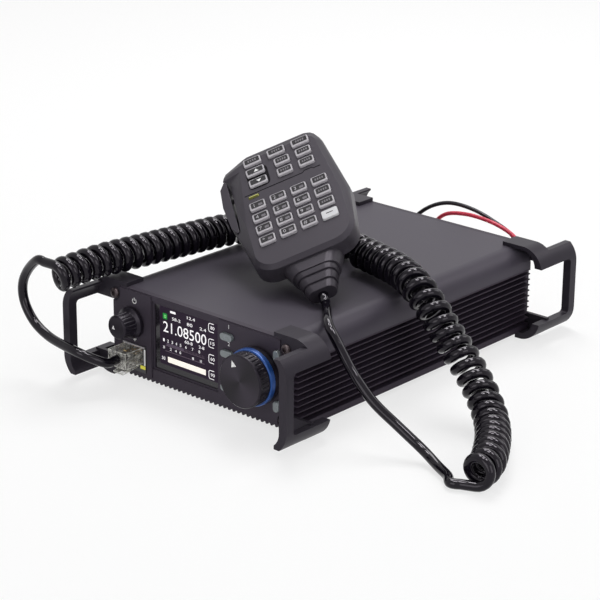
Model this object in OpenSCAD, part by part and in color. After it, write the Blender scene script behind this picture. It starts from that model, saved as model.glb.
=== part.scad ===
// Compact mobile transceiver with a keypad hand microphone on a curly cord.
// Millimetres. X runs to the right seen from the front, Y to the rear and Z up.
// The origin lies on the ground under the middle of the case.

/* [Case] */
// Width of the case over the fin tips
case_w = 120; // [118:1:140]
// Height of the case
case_h = 45; // [44:0.5:54]
// Length of the case from front to back
case_d = 180; // [150:1:220]
// Wall thickness of the case
case_wall = 2.2; // [1.8:0.1:2.8]
// Radius of the two top corners
corner_r = 9.5; // [7:0.5:11]
// Seam between the two halves of the case, down from the case top
seam_down = 12; // [11:0.5:14]
// Height of the plain band under the side fins
band_h = 3; // [2.6:0.2:3.6]
// Depth of the side fins
fin_depth = 4; // [3:0.25:5]
// Thickness of a side fin
fin_t = 0.9; // [0.6:0.1:1.2]
// Number of fins on each side
fin_count = 9; // [6:1:10]
// Depth of the grooves in the underside
groove_depth = 1.4; // [0.8:0.1:1.6]
// Spacing of the grooves in the underside
groove_pitch = 3; // [2.6:0.1:4.5]
// Width of a groove in the underside
groove_w = 1.7; // [1:0.1:2]
// Height of the tongue that locates the upper half
tongue_h = 2.5; // [1.5:0.5:4]

/* [Handles] */
// How far a handle stands out from the case end
handle_reach = 22.2; // [18:0.2:30]
// How far a handle stands out from the case side
handle_out = 13; // [11:0.5:16]
// Thickness of the handle bar across the case
bar_t = 4.5; // [3.5:0.25:6]
// Thickness of the handle bar along the case
bar_w = 5; // [4:0.25:6]
// Outer corner radius of a handle
cap_r = 12.5; // [10:0.5:14]
// Inner corner radius of a handle
cap_in_r = 8.5; // [8:0.5:10]
// Thickness of the lip on top of the case
lip_t = 2; // [1.5:0.25:3]
// Thickness of the foot under the case
foot_t = 3; // [2:0.25:4]
// Length of an upper lip across the case
lip_len = 12; // [10:0.5:16]
// Length of a foot under the case
foot_len = 2; // [1:0.5:8]
// Length of a lip along the case
cap_len = 8.5; // [6:0.5:12]
// Height of a handle arm
arm_h = 7; // [6:0.5:9]
// Width of a handle arm across the case
arm_w = 7.6; // [6.6:0.2:9]
// Set-down of the handle loop from the lips
arm_drop = 3; // [2:0.5:4]
// Thickness of the screwed flange
flange_t = 2; // [1.4:0.2:2.4]
// Margin of the flange round its screw
flange_r = 3.4; // [3:0.1:3.6]
// Shank radius of a handle screw
screw_r = 1.25; // [1:0.05:1.4]
// Head radius of a handle screw
screw_head_r = 2.6; // [2:0.1:3]
// Head height of a handle screw
screw_head_h = 1.6; // [1:0.1:2]
// Length of a handle screw under its head
screw_len = 9; // [7:0.5:14]
// Upper screw, in from the case side
screw_in_top = 4.2; // [4:0.1:5]
// Upper screw, down from the case top
screw_down = 4.7; // [4.2:0.1:5.5]
// Lower screw, in from the case side
screw_in_low = 5.5; // [5:0.1:6]
// Lower screw, up from the case bottom
screw_up = 4.6; // [4:0.1:5]
// Radius of a screw channel
boss_r = 2.6; // [2.2:0.1:2.8]

/* [Panels] */
// Thickness of the front and rear panels
panel_t = 3; // [2.6:0.1:4]
// Set-back of a panel from the case sides
panel_in = 3; // [1:0.25:3.5]
// Raised height of the left and right sections
raise_t = 0.5; // [0.3:0.1:1]
// Left edge of the display section, in from the left case side
section_l = 28.8; // [27.6:0.2:30]
// Right edge of the display section, in from the right case side
section_r = 46.6; // [45.6:0.2:48]
// Margin of a raised section at the top and bottom
section_margin = 0.8; // [0.5:0.1:1.5]

/* [Display] */
// Margin of the display window to the left edge of its section
window_l = 1.35; // [1.25:0.05:4]
// Margin of the display window to the right edge of its section
window_r = 1.55; // [1.25:0.05:4]
// Upper edge of the display window, down from the case top
window_down = 4; // [3.6:0.1:8]
// Lower edge of the display window above the case bottom
window_z = 8; // [6:0.5:9]
// Depth of the glass behind the panel face
glass_in = 1.2; // [0.6:0.1:1.6]
// Rim of the display module behind the panel
module_rim = 1.6; // [1:0.1:2]
// Depth of the display module
module_t = 9; // [7:0.5:11]
// Depth of the bevelled step round the window
step_t = 0.7; // [0.4:0.1:1]
// Width of the bevelled step round the window
step_w = 1; // [0.6:0.1:1.2]

/* [Controls] */
// Shaft radius of both knobs
shaft_r = 3; // [2:0.1:3.2]
// Running clearance of a shaft
shaft_fit = 0.05; // [0.02:0.01:0.09]
// Bushing radius of both shafts
bush_r = 4.4; // [4.1:0.1:5]
// Length of a bushing in front of the panel
bush_out = 2; // [1:0.25:3]
// Gap between the volume knob and the panel
knob_gap = 0.8; // [0.5:0.1:1.5]
// Volume knob, in from the left case side
vol_x = 16.3; // [15.5:0.1:16.5]
// Volume knob, down from the case top
vol_z = 16.7; // [14:0.1:17.5]
// Radius of the volume knob at its face
vol_r = 6; // [5.6:0.1:6.5]
// Radius of the volume knob's skirt
vol_skirt_r = 7.9; // [7.4:0.1:8.2]
// Length of the volume knob
vol_len = 10.5; // [9:0.5:13]
// Body radius of the volume control
vol_body_r = 6.4; // [5.5:0.1:6.6]
// Tuning knob, in from the right case side
tune_x = 20; // [19:0.1:21.5]
// Tuning knob, down from the case top
tune_z = 20.7; // [19.5:0.1:21.5]
// Gap between the tuning knob and the panel, clear of the panel keys
tune_gap = 1.9; // [1.5:0.1:2.2]
// Face radius of the tuning knob
tune_r = 13; // [12.2:0.1:13.3]
// Radius of the tuning knob's base
tune_base_r = 13.6; // [13.4:0.1:14.2]
// Radius of the coloured ring
ring_r = 13.9; // [13.7:0.1:14.4]
// Width of the coloured ring along the shaft
ring_w = 3.2; // [2.4:0.2:4]
// Thickness of the knob's base disc
base_t = 2.3; // [1.8:0.1:2.8]
// Length of the tuning knob
tune_len = 12.1; // [10:0.1:15]
// Body radius of the tuning encoder
tune_body_r = 6.5; // [5.5:0.1:7]
// Soft keys, in from the right case side
soft_x = 40.5; // [39.6:0.1:41]
// Lowest soft key above the case bottom
soft_z = 11.6; // [11:0.1:12.5]
// Highest soft key, down from the case top
soft_down = 7.8; // [7.4:0.1:9]
// Width of a soft key
soft_w = 7.5; // [6.5:0.1:8]
// Height of a soft key
soft_h = 3.5; // [3:0.1:4]
// Side keys, in from the right case side
side_x = 9.2; // [9:0.1:9.8]
// Upper side key, down from the case top
side_z_up = 8.8; // [8.6:0.1:9.4]
// Lower side key above the case bottom
side_z_low = 11; // [10.8:0.1:12.5]
// Width of a side key
side_w = 3.4; // [3:0.1:3.6]
// Height of a side key
side_h = 5.4; // [4.6:0.1:5.6]
// How far a panel key stands proud
key_proud = 1.6; // [1:0.1:2.4]
// Clearance round a key in its opening
key_fit = 0.2; // [0.15:0.01:0.3]
// Retaining rim of a key
key_rim = 0.8; // [0.5:0.1:0.9]
// Thickness of the retaining rim
key_rim_t = 1; // [0.8:0.1:1.4]
// Travel of a panel key
key_travel = 0.8; // [0.5:0.1:1]
// Height of a switch on the front board
switch_h = 3.2; // [2.5:0.1:4]
// Thickness of the front board
board_t = 1.6; // [1:0.2:2]

/* [Microphone socket] */
// Socket, in from the left case side
jack_x = 17; // [16.2:0.1:17.6]
// Middle of the socket above the case bottom
jack_z = 10.4; // [9.8:0.1:10.8]
// Width of the socket
jack_w = 16.2; // [15.4:0.1:16.8]
// Height of the socket
jack_h = 13.6; // [13.2:0.1:14]
// How far the socket stands proud of its section
jack_proud = 0.4; // [0.2:0.1:1]
// Width of the plug
plug_w = 11.7; // [11:0.1:12]
// Height of the plug without its latch
plug_h = 8; // [7.6:0.1:8.4]
// Length of the plug in front of the socket
plug_out = 11.4; // [9:0.2:13]
// Length of the plug inside the socket
plug_in = 10; // [8:0.2:10.4]
// Width of the plug's latch
latch_w = 6; // [5:0.2:6.4]
// Clearance of the plug in the socket
plug_fit = 0.2; // [0.1:0.05:0.3]

/* [Rear sockets] */
// Antenna socket across the panel
ant_x = 8; // [2:0.5:12]
// Middle height of the rear sockets above the case bottom
rear_z = 25; // [22:0.5:28]
// Barrel radius of the antenna socket
ant_r = 7.9; // [7:0.1:9]
// Barrel length of the antenna socket
ant_len = 14; // [10:0.5:18]
// Flange radius of the antenna socket
ant_flange_r = 11; // [10:0.5:13]
// Flange thickness of the antenna socket
ant_flange_t = 2; // [1.5:0.25:3]
// Contact bore radius of the antenna socket
ant_bore_r = 2; // [1.5:0.1:2.5]
// Power inlet, in from the right case side
pwr_x = 20; // [18:0.5:24]
// Width of the power inlet
pwr_w = 16; // [14:0.5:18]
// Height of the power inlet
pwr_h = 9; // [8:0.5:12]
// How far the power inlet stands out
pwr_out = 8; // [6:0.5:10]
// Spacing of the two power leads
pwr_pitch = 6; // [5:0.5:8]

/* [Microphone] */
// Microphone middle across the case
mic_x = 2.5; // [-1:0.5:6]
// Microphone middle along the case
mic_y = -28.5; // [-33:0.5:-23]
// Height of the keypad's middle above the case top
mic_rise = 34.8; // [34.4:0.2:39]
// Turn of the microphone about the vertical
mic_yaw = 43; // [40:1:46]
// Rise of the microphone's right side
mic_roll = 24; // [22:1:26]
// Rise of the microphone's upper end
mic_pitch = 28; // [26:1:30]
// Half width of the shell at its widest
mic_half = 28; // [27:0.5:31]
// Half width of the shell near its top
mic_top_half = 23.5; // [22:0.5:26]
// Top end of the shell above the keypad's middle
mic_top = 49.5; // [48.5:0.5:53]
// Lower end of the shell below the keypad's middle
mic_low = 29; // [28:0.5:34]
// Depth of the front shell
mic_front_t = 9; // [8:0.5:11]
// Depth of the rear shell
mic_rear_t = 15; // [12:0.5:16]
// Set-back of the keypad face from the widest outline
mic_bevel = 3.5; // [3:0.25:4.5]
// Extra width of the shell on the side of the talk bar
mic_side = 3.5; // [2:0.25:4]
// Radius of the crowned top end of the shell
mic_crown = 80; // [70:5:120]
// Length of the neck below the shell
neck_len = 7; // [5:0.5:9]
// Width of the neck where it leaves the shell
neck_w = 31; // [27:0.5:33]
// Width of the neck at the strain relief
neck_end_w = 24; // [23:0.5:26]
// Depth of the neck
neck_d = 15; // [13.5:0.5:16]
// Wall of the keypad face
mic_wall = 2.2; // [1.8:0.1:2.6]
// Column spacing of the keypad
pad_col = 10.9; // [10.4:0.1:11.2]
// Row spacing of the keypad
pad_row = 8; // [7.6:0.1:8.4]
// Width of a keypad key
pad_w = 8.2; // [7:0.1:8.4]
// Height of a keypad key
pad_h = 5.3; // [4.6:0.1:5.5]
// Corner radius of the microphone keys
pad_r = 0.9; // [0.5:0.1:1.5]
// How far a microphone key stands proud
pad_proud = 1.2; // [0.8:0.1:1.8]
// Travel of a microphone key
pad_travel = 0.7; // [0.4:0.1:0.9]
// Lowest row of the upper keys above the keypad's middle
upper_v = 27.4; // [27:0.1:28]
// Row spacing of the upper keys
upper_pitch = 7.4; // [7:0.1:7.6]
// Side spacing of the upper keys
upper_col = 13.3; // [13:0.1:13.8]
// Width of an upper key
upper_w = 8.4; // [7.4:0.1:9]
// Height of an upper key
upper_h = 4.9; // [4.4:0.1:5]
// Length of the talk bar
ptt_len = 36; // [32:0.5:40]
// Height of the talk bar
ptt_h = 11; // [9:0.5:12]
// How far the talk bar stands out from the shell
ptt_out = 2.6; // [2:0.2:3.6]
// Radius of the talk bar's two guide posts
ptt_post_r = 1.2; // [1:0.05:1.5]
// Travel of the talk bar
ptt_travel = 1.2; // [0.8:0.1:1.5]
// Clearance round the talk bar
ptt_fit = 0.5; // [0.4:0.05:0.7]
// Depth of the talk bar's pocket in the shell
ptt_pocket = 4.25; // [3.5:0.25:4.5]
// Width of the strain relief at the neck
relief_w = 21.5; // [18:0.5:22.5]
// Width of the strain relief at the cord
relief_end_w = 14; // [11:0.5:16]
// Depth of the strain relief at the neck
relief_d = 13; // [11:0.5:13.5]
// Depth of the strain relief at the cord
relief_end_d = 8.8; // [8:0.2:9.6]
// Length of the strain relief
relief_len = 13; // [10:0.5:18]

/* [Cords] */
// Diameter of the microphone cord
cord_d = 4.8; // [3.6:0.1:5]
// Outside diameter of the curls
curl_d = 17; // [15:0.5:18]
// Number of curls before the winding reverses
curl_turns_a = 29; // [20:1:30]
// Bend radius of the cord where its winding reverses
curl_bend = 6; // [5:0.5:8]
// Diameter of a power lead
lead_d = 2.2; // [1.8:0.1:2.6]
// Outside radius of a put-away coil
coil_r = 21; // [18:0.5:22]
// Loops in each layer of a put-away coil
coil_loops = 3; // [2:1:3]
// Gap between neighbouring loops
coil_gap = 0.9; // [0.8:0.1:1.3]

/* [Hidden] */
$fn = 48;
half_w = case_w / 2;
half_d = case_d / 2;
top_z = foot_t + case_h;
plate_low = foot_t + groove_depth + 0.2;
seam_h = case_h - seam_down;
fin_pitch = (seam_h - band_h) / (fin_count + 1);
wall_x = half_w - fin_depth;
front_y = -half_d - panel_t;
face_y = front_y - raise_t;
screw_fit = 0.05;
flange_fit = 0.2;
board_y = -half_d + module_t;
screw_x_top = half_w - screw_in_top;
screw_z_top = top_z - screw_down;
screw_x_low = half_w - screw_in_low;
screw_z_low = foot_t + screw_up;
arm_top = top_z + lip_t - arm_drop;
arm_low = arm_drop;
block_l = section_l - half_w;
block_r = half_w - section_r;
window_w = block_r - window_r - block_l - window_l;
window_h = case_h - window_down - window_z;
window_mid = block_l + window_l + window_w / 2;
vol_at = [vol_x - half_w, foot_t + case_h - vol_z];
tune_at = [half_w - tune_x, foot_t + case_h - tune_z];
soft_at = half_w - soft_x;
soft_pitch = (case_h - soft_down - soft_z) / 3;
side_at = half_w - side_x;
side_up = case_h - side_z_up;
jack_at = jack_x - half_w;
pwr_at = half_w - pwr_x;

// Microphone keys: column offset, row offset, width, height
PAD_KEYS = [for (r = [0:3], c = [0:3]) [(c - 1.5) * pad_col, (1.5 - r) * pad_row, pad_w, pad_h]];
top_v = upper_v + 2 * upper_pitch;
ptt_low = top_v - ptt_len - 2;
ptt_wall = -mic_half - mic_side;
TOP_KEYS = [for (c = [-1:1]) [c * upper_col - (c == 0 ? 0 : c * 0.4), top_v, upper_w + 0.8, upper_h]];
MID_KEYS = [for (r = [1:-1:0], c = [0:1])
    [1.6 + c * (upper_col - 1.8), upper_v + r * upper_pitch, upper_w - 0.4, upper_h]];
ARROW_KEYS = [for (r = [1:-1:0]) [-upper_col + 0.6, upper_v + r * upper_pitch, upper_w + 1.2, upper_h]];
KEYS = concat(PAD_KEYS, TOP_KEYS, MID_KEYS, ARROW_KEYS);

// Cord routes: points chosen along the way the cords lie
CURL_AXIS = [
    [-66.5, -122, 56.5], [-62.5, -98, 59], [-59, -74, 59], [-57, -46, 58], [-55, -20, 57],
    [-47, 2, 57], [-33, 14, 57], [-15, 15, 57], [2, 10, 57], [18, 4, 57], [34, 0, 57],
    [52, -6, 57], [68, -13, 54.5], [81, -17, 47], [91, -18, 37.5], [101, -19, 28.5], [112, -22, 19.5],
    [124, -29, 11.5], [134.5, -40, 8.8], [145, -55, 8.8], [153.5, -70, 8.8], [156.5, -81.5, 8.8]];
PLUG_TAIL = [
    [-46.5, -118, 18.5], [-53, -122, 21.5], [-65, -121, 22], [-76, -119.5, 23], [-85.5, -119, 27],
    [-91.5, -119, 33.5], [-94, -119, 40.5], [-92.5, -119.5, 48], [-87, -120.5, 55.5]];
SHELL_TAIL = [
    [49.5, -57.8, 51], [61.3, -70.4, 50.8], [70, -73.5, 44], [78, -75, 36], [85, -76, 30], [94, -75.5, 22],
    [107, -73, 13], [120, -72.5, 6], [131, -76, 3], [140.5, -81, 2.7]];
RED_ARCH = [
    [42, 105.5, 37], [38, 106, 43.5], [28, 106, 47.5], [15, 106, 49.3], [3, 106, 49],
    [-8, 106, 46.3], [-16, 107.5, 39], [-18.5, 109, 27], [-19, 110.5, 14], [-18, 113, 6]];
BLACK_ARCH = [
    [37.5, 109, 35], [33, 111, 42], [20, 111, 47.5], [6, 111, 51], [-9, 111, 51.2],
    [-22, 111, 46.5], [-34, 111.5, 37], [-46, 112.5, 22], [-56, 114, 10], [-62, 117, 4.5]];
RED_COIL = [3, 121];
BLACK_COIL = [-41, 123];

function unit(v) = v / norm(v);
function spline(p, i, t) =
    let (n = len(p) - 1, a = p[max(i - 1, 0)], b = p[i], c = p[min(i + 1, n)], d = p[min(i + 2, n)])
    0.5 * (2 * b + (c - a) * t + (2 * a - 5 * b + 4 * c - d) * t * t + (3 * b - a - 3 * c + d) * t * t * t);
function smooth(p, m) =
    concat([for (i = [0:len(p) - 2], k = [0:m - 1]) spline(p, i, k / m)], [p[len(p) - 1]]);
function run(p) =
    [for (i = 0, s = 0; i < len(p); i = i + 1, s = s + (i < len(p) ? norm(p[i] - p[i - 1]) : 0)) s];
function at(p, c, s) =
    let (i = max([for (k = [0:len(c) - 2]) if (c[k] <= s || k == 0) k]), f = (s - c[i]) / (c[i + 1] - c[i]))
    p[i] + (p[i + 1] - p[i]) * f;
function heading(p, i) = unit(p[min(i + 1, len(p) - 1)] - p[max(i - 1, 0)]);
function shed(v, t) = unit(v - (v * t) * t);
function any_side(t) = abs(t[2]) < 0.9 ? shed([0, 0, 1], t) : shed([1, 0, 0], t);
function sides(p) =
    [for (i = 0, n = any_side(heading(p, 0)); i < len(p);
        i = i + 1, n = i < len(p) ? shed(n, heading(p, i)) : n) n];
// Least distance between stretches of a wound tube that lie more than `skip` points apart
function least_gap(p, skip, d) =
    min([for (i = [0:len(p) - 1 - skip], j = [i + skip:len(p) - 1]) norm(p[i] - p[j])]) - d;

// Tube swept along points, with one side direction for each point
module tube(p, n, r, m) {
    rings = [for (i = [0:len(p) - 1], k = [0:m - 1])
        let (t = heading(p, i), a = shed(n[i], t), b = cross(t, a))
        p[i] + r * (cos(360 * k / m) * a + sin(360 * k / m) * b)];
    last = len(p) - 1;
    walls = [for (i = [0:last - 1], k = [0:m - 1], h = [0, 1])
        let (a = i * m + k, b = i * m + (k + 1) % m)
        h == 0 ? [a, a + m, b] : [b, a + m, b + m]];
    ends = [for (k = [1:m - 2], h = [0, 1])
        h == 0 ? [0, k, k + 1] : [last * m, last * m + k + 1, last * m + k]];
    polyhedron(rings, concat(walls, ends));
}

// A profile drawn in X and Z, run along Y from y0 to y1
module along_y(y0, y1) {
    translate([0, y1, 0])
        rotate([90, 0, 0])
            linear_extrude(y1 - y0)
                children();
}

// A profile drawn in Y and Z, run along X from x0 to x1
module along_x(x0, x1) {
    translate([x0, 0, 0])
        rotate([90, 0, 90])
            linear_extrude(x1 - x0)
                children();
}

// A round piece on a shaft line along Y
module round_y(x, z, y0, y1, r) {
    translate([x, y1, z])
        rotate([90, 0, 0])
            cylinder(h = y1 - y0, r = r);
}

module rounded(w, h, r) {
    square([w - 2 * r, h], center = true);
    square([w, h - 2 * r], center = true);
    for (sx = [-1, 1], sy = [-1, 1])
        translate([sx * (w / 2 - r), sy * (h / 2 - r)])
            circle(r, $fn = 24);
}

module stadium(w, h) {
    r = min(w, h) / 2;
    square([max(w - 2 * r, 0.01), 2 * r], center = true);
    square([2 * r, max(h - 2 * r, 0.01)], center = true);
    for (s = [-1, 1])
        translate([s * (w / 2 - r), s * (h / 2 - r)])
            circle(r);
}

// Outline of the case with round top corners, drawn at its height over the ground
module case_outline(inset = 0) {
    r = corner_r - inset;
    x = half_w - inset;
    z = top_z - inset;
    translate([-x, foot_t + inset])
        square([2 * x, z - r - foot_t - inset]);
    translate([-x + r, foot_t + inset])
        square([2 * (x - r), z - foot_t - inset]);
    for (s = [-1, 1])
        translate([s * (x - r), z - r])
            circle(r);
}

module both_sides() {
    children();
    mirror([1, 0, 0])
        children();
}

module upper_case() {
    color([0.2, 0.2, 0.21])
        along_y(-half_d, half_d)
            difference() {
                intersection() {
                    case_outline();
                    translate([-half_w, foot_t + seam_h])
                        square([case_w, case_h]);
                }
                difference() {
                    case_outline(case_wall);
                    both_sides()
                        translate([screw_x_top, screw_z_top])
                            circle(boss_r);
                }
                both_sides()
                    translate([screw_x_top, screw_z_top])
                        circle(screw_r + screw_fit);
            }
}

// One side wall of the lower half: wall, fins, top rail, tongue and screw channel
module side_profile() {
    translate([wall_x - case_wall, foot_t])
        square([case_wall, seam_h]);
    for (k = [1:fin_count])
        translate([wall_x, foot_t + band_h + k * fin_pitch])
            polygon([[-0.1, -fin_t * 0.65], [fin_depth, -fin_t * 0.3],
                [fin_depth, fin_t * 0.3], [-0.1, fin_t * 0.65]]);
    translate([wall_x - case_wall, foot_t + seam_h - fin_t])
        square([fin_depth + case_wall, fin_t]);
    translate([half_w - 2 * case_wall + 0.4, foot_t + seam_h - fin_t / 2])
        square([case_wall - 0.6, tongue_h + fin_t / 2]);
    translate([screw_x_low, screw_z_low])
        circle(boss_r);
}

// Grooves of the underside, which show as teeth at the lower edge of the panels
module underside_grooves() {
    grooves = floor((half_w - screw_in_low) / groove_pitch);
    for (k = [-grooves:grooves])
        translate([k * groove_pitch, foot_t])
            polygon([[-groove_w * 0.65, -0.1], [groove_w * 0.65, -0.1],
                [groove_w * 0.3, groove_depth], [-groove_w * 0.3, groove_depth]]);
}

module lower_case() {
    color([0.13, 0.13, 0.14])
        along_y(-half_d, half_d)
            difference() {
                union() {
                    translate([-half_w, foot_t])
                        square([case_w, band_h]);
                    both_sides()
                        side_profile();
                }
                underside_grooves();
                both_sides()
                    translate([screw_x_low, screw_z_low])
                        circle(screw_r + screw_fit);
            }
}

// Section of a handle: a deep C round the case side, with lips over and under the case
module handle_shape(w, z0, z1, r) {
    translate([0, z0])
        square([w - r, z1 - z0]);
    translate([0, z0 + r])
        square([w, z1 - z0 - 2 * r]);
    for (z = [z0 + r, z1 - r])
        translate([w - r, z])
            circle(r);
}

module handle_section() {
    difference() {
        handle_shape(half_w + handle_out, 0, top_z + lip_t, cap_r);
        handle_shape(half_w + handle_out - bar_t, foot_t, top_z, cap_in_r);
        translate([-1, foot_t + case_h / 2])
            square([half_w - lip_len + 1, case_h]);
        translate([-1, -1])
            square([half_w - foot_len + 1, foot_t + case_h / 2 + 1]);
    }
}

// Side view of the front handle: caps on the case, two arms and the bar
module handle_side() {
    y_end = -half_d - handle_reach;
    difference() {
        union() {
            translate([front_y, 0])
                square([cap_len + panel_t, top_z + lip_t]);
            translate([y_end, arm_low])
                square([handle_reach, arm_top - arm_low]);
        }
        translate([y_end + bar_w + 2, arm_low + arm_h])
            square([handle_reach + cap_len, arm_top - arm_low - 2 * arm_h]);
        translate([y_end + bar_w, arm_low + arm_h + 2])
            square([handle_reach + cap_len, arm_top - arm_low - 2 * arm_h - 4]);
        for (z = [arm_low + arm_h + 2, arm_top - arm_h - 2])
            translate([y_end + bar_w + 2, z])
                circle(2);
    }
}

// Screwed flange that fills the handle's corner in front of the case end
module flange_corner(x, z, up, fit) {
    r = flange_r + fit;
    translate([x, z])
        circle(r);
    translate([x, up > 0 ? z - r : foot_t])
        square([half_w + handle_out - bar_t / 2 - x, up > 0 ? top_z - z + r : z + r - foot_t]);
    translate([x - r, up > 0 ? z : foot_t])
        square([half_w + handle_out - bar_t / 2 - x, up > 0 ? top_z - z : z - foot_t]);
}

module flange_profile(fit = 0) {
    flange_corner(screw_x_top, screw_z_top, 1, fit);
    flange_corner(screw_x_low, screw_z_low, -1, fit);
}

module handle() {
    difference() {
        union() {
            difference() {
                intersection() {
                    along_y(-half_d - handle_reach, -half_d + cap_len)
                        handle_section();
                    along_x(0, half_w + handle_out)
                        handle_side();
                }
                translate([0, -half_d - handle_reach - 1, -1])
                    cube([half_w + handle_out - arm_w, handle_reach - panel_t + 1, top_z + lip_t + 2]);
            }
            along_y(front_y, front_y + flange_t)
                intersection() {
                    flange_profile();
                    handle_shape(half_w + handle_out - bar_t / 2, foot_t - 0.5, top_z + 0.5, cap_in_r);
                }
        }
        round_y(screw_x_top, screw_z_top, front_y - 1, front_y + flange_t + 1, screw_r + screw_fit);
        round_y(screw_x_low, screw_z_low, front_y - 1, front_y + flange_t + 1, screw_r + screw_fit);
    }
}

module front_handles() {
    color([0.12, 0.12, 0.13])
        both_sides()
            handle();
}

module rear_handles() {
    color([0.12, 0.12, 0.13])
        both_sides()
            mirror([0, 1, 0])
                handle();
}

module screw(x, z) {
    round_y(x, z, front_y - screw_head_h, front_y, screw_head_r);
    round_y(x, z, front_y, front_y + screw_len, screw_r);
}

module handle_screws() {
    color([0.45, 0.43, 0.44])
        both_sides()
            for (s = [0, 1])
                mirror([0, s, 0]) {
                    screw(screw_x_top, screw_z_top);
                    screw(screw_x_low, screw_z_low);
                }
}

// Plate that closes a case end, with pads let in for the handle flanges
module end_plate() {
    difference() {
        along_y(front_y, -half_d)
            difference() {
                intersection() {
                    case_outline();
                    translate([-half_w + panel_in, foot_t])
                        square([case_w - 2 * panel_in, top_z]);
                }
                underside_grooves();
            }
        both_sides() {
            along_y(front_y - 1, front_y + flange_t)
                flange_profile(flange_fit);
            round_y(screw_x_top, screw_z_top, front_y - 1, -half_d + 1, screw_r + screw_fit);
            round_y(screw_x_low, screw_z_low, front_y - 1, -half_d + 1, screw_r + screw_fit);
        }
    }
}

// Raised block of the panel between two edges
module raised_block(x0, x1) {
    difference() {
        along_y(face_y, front_y + 0.5)
            translate([x0, plate_low + section_margin / 2])
                square([x1 - x0, top_z - plate_low - 1.5 * section_margin]);
        both_sides()
            along_y(face_y - 1, front_y + flange_t)
                flange_profile(flange_fit);
    }
}

module key_opening(x, z, w, h) {
    along_y(face_y - 1, -half_d + 1)
        translate([x, foot_t + z])
            stadium(w + 2 * key_fit, h + 2 * key_fit);
}

module front_panel() {
    edge = half_w - panel_in;
    color([0.1, 0.09, 0.11])
        difference() {
            union() {
                end_plate();
                raised_block(-edge, block_l);
                raised_block(block_r, edge);
            }
            along_y(face_y - 1, -half_d + 1)
                translate([window_mid - window_w / 2, foot_t + window_z])
                    square([window_w, window_h]);
            along_y(face_y - 1, front_y + step_t)
                translate([window_mid - window_w / 2 - step_w, foot_t + window_z - step_w])
                    square([window_w + 2 * step_w, window_h + 2 * step_w]);
            round_y(vol_at[0], vol_at[1], face_y - 1, -half_d + 1, bush_r + 0.1);
            round_y(tune_at[0], tune_at[1], face_y - 1, -half_d + 1, bush_r + 0.1);
            for (k = [0:3])
                key_opening(soft_at, soft_z + k * soft_pitch, soft_w, soft_h);
            key_opening(side_at, side_up, side_w, side_h);
            key_opening(side_at, side_z_low, side_w, side_h);
            along_y(face_y - 1, -half_d + 1)
                translate([jack_at, foot_t + jack_z])
                    square([jack_w + 0.3, jack_h + 0.3], center = true);
        }
}

module rear_panel() {
    color([0.14, 0.14, 0.15])
        difference() {
            mirror([0, 1, 0])
                end_plate();
            round_y(ant_x, foot_t + rear_z, half_d - 1, half_d + panel_t + 1, ant_r + 0.1);
            along_y(half_d - 1, half_d + panel_t + 1)
                translate([pwr_at, foot_t + rear_z])
                    square([pwr_w - 2, pwr_h - 2], center = true);
        }
}

module display_module() {
    rim_h = min(window_h + 2 * module_rim, case_h - case_wall - 0.2 - window_z + module_rim);
    color([0.16, 0.14, 0.2]) {
        along_y(-half_d, board_y)
            translate([window_mid - window_w / 2 - module_rim, foot_t + window_z - module_rim])
                square([window_w + 2 * module_rim, rim_h]);
        along_y(front_y + glass_in, -half_d + 0.5)
            translate([window_mid - window_w / 2 + 0.2, foot_t + window_z + 0.2])
                square([window_w - 0.4, window_h - 0.4]);
    }
}

module key_switch(x, z) {
    along_y(board_y - switch_h, board_y + 0.2)
        translate([x, foot_t + z])
            square([4, 4], center = true);
}

module front_board() {
    x = wall_x - case_wall - 2;
    color([0.1, 0.3, 0.2]) {
        along_y(board_y, board_y + board_t)
            translate([-x, screw_z_low + boss_r + 0.6])
                square([2 * x, screw_z_top - boss_r - 1.2 - screw_z_low - boss_r]);
        for (k = [0:3])
            key_switch(soft_at, soft_z + k * soft_pitch);
        key_switch(side_at - 0.8, side_up);
        key_switch(side_at - 0.8, side_z_low);
    }
}

module mic_socket() {
    y0 = face_y - jack_proud;
    cavity_z = foot_t + jack_z + 2;
    back_l = max(jack_at - jack_w / 2 + 1, boss_r + 0.3 - screw_x_low);
    back_low = foot_t + max(band_h + 0.2, jack_z - jack_h / 2);
    color([0.75, 0.72, 0.64])
        difference() {
            union() {
                along_y(y0, -half_d)
                    translate([jack_at, foot_t + jack_z])
                        square([jack_w, jack_h], center = true);
                along_y(-half_d - 0.5, board_y)
                    translate([back_l, back_low])
                        square([jack_at + jack_w / 2 - back_l, foot_t + jack_z + jack_h / 2 - back_low]);
            }
            along_y(y0 - 1, y0 + plug_in + 0.3)
                translate([jack_at, cavity_z])
                    square([plug_w + 2 * plug_fit, plug_h + 2 * plug_fit], center = true);
            along_y(y0 - 1, y0 + plug_in + 0.3)
                translate([jack_at - latch_w / 2 - plug_fit, cavity_z - plug_h / 2 - 3.2])
                    square([latch_w + 2 * plug_fit, 3.6]);
            both_sides()
                along_y(face_y - 3, front_y + flange_t)
                    flange_profile(flange_fit);
        }
}

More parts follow.
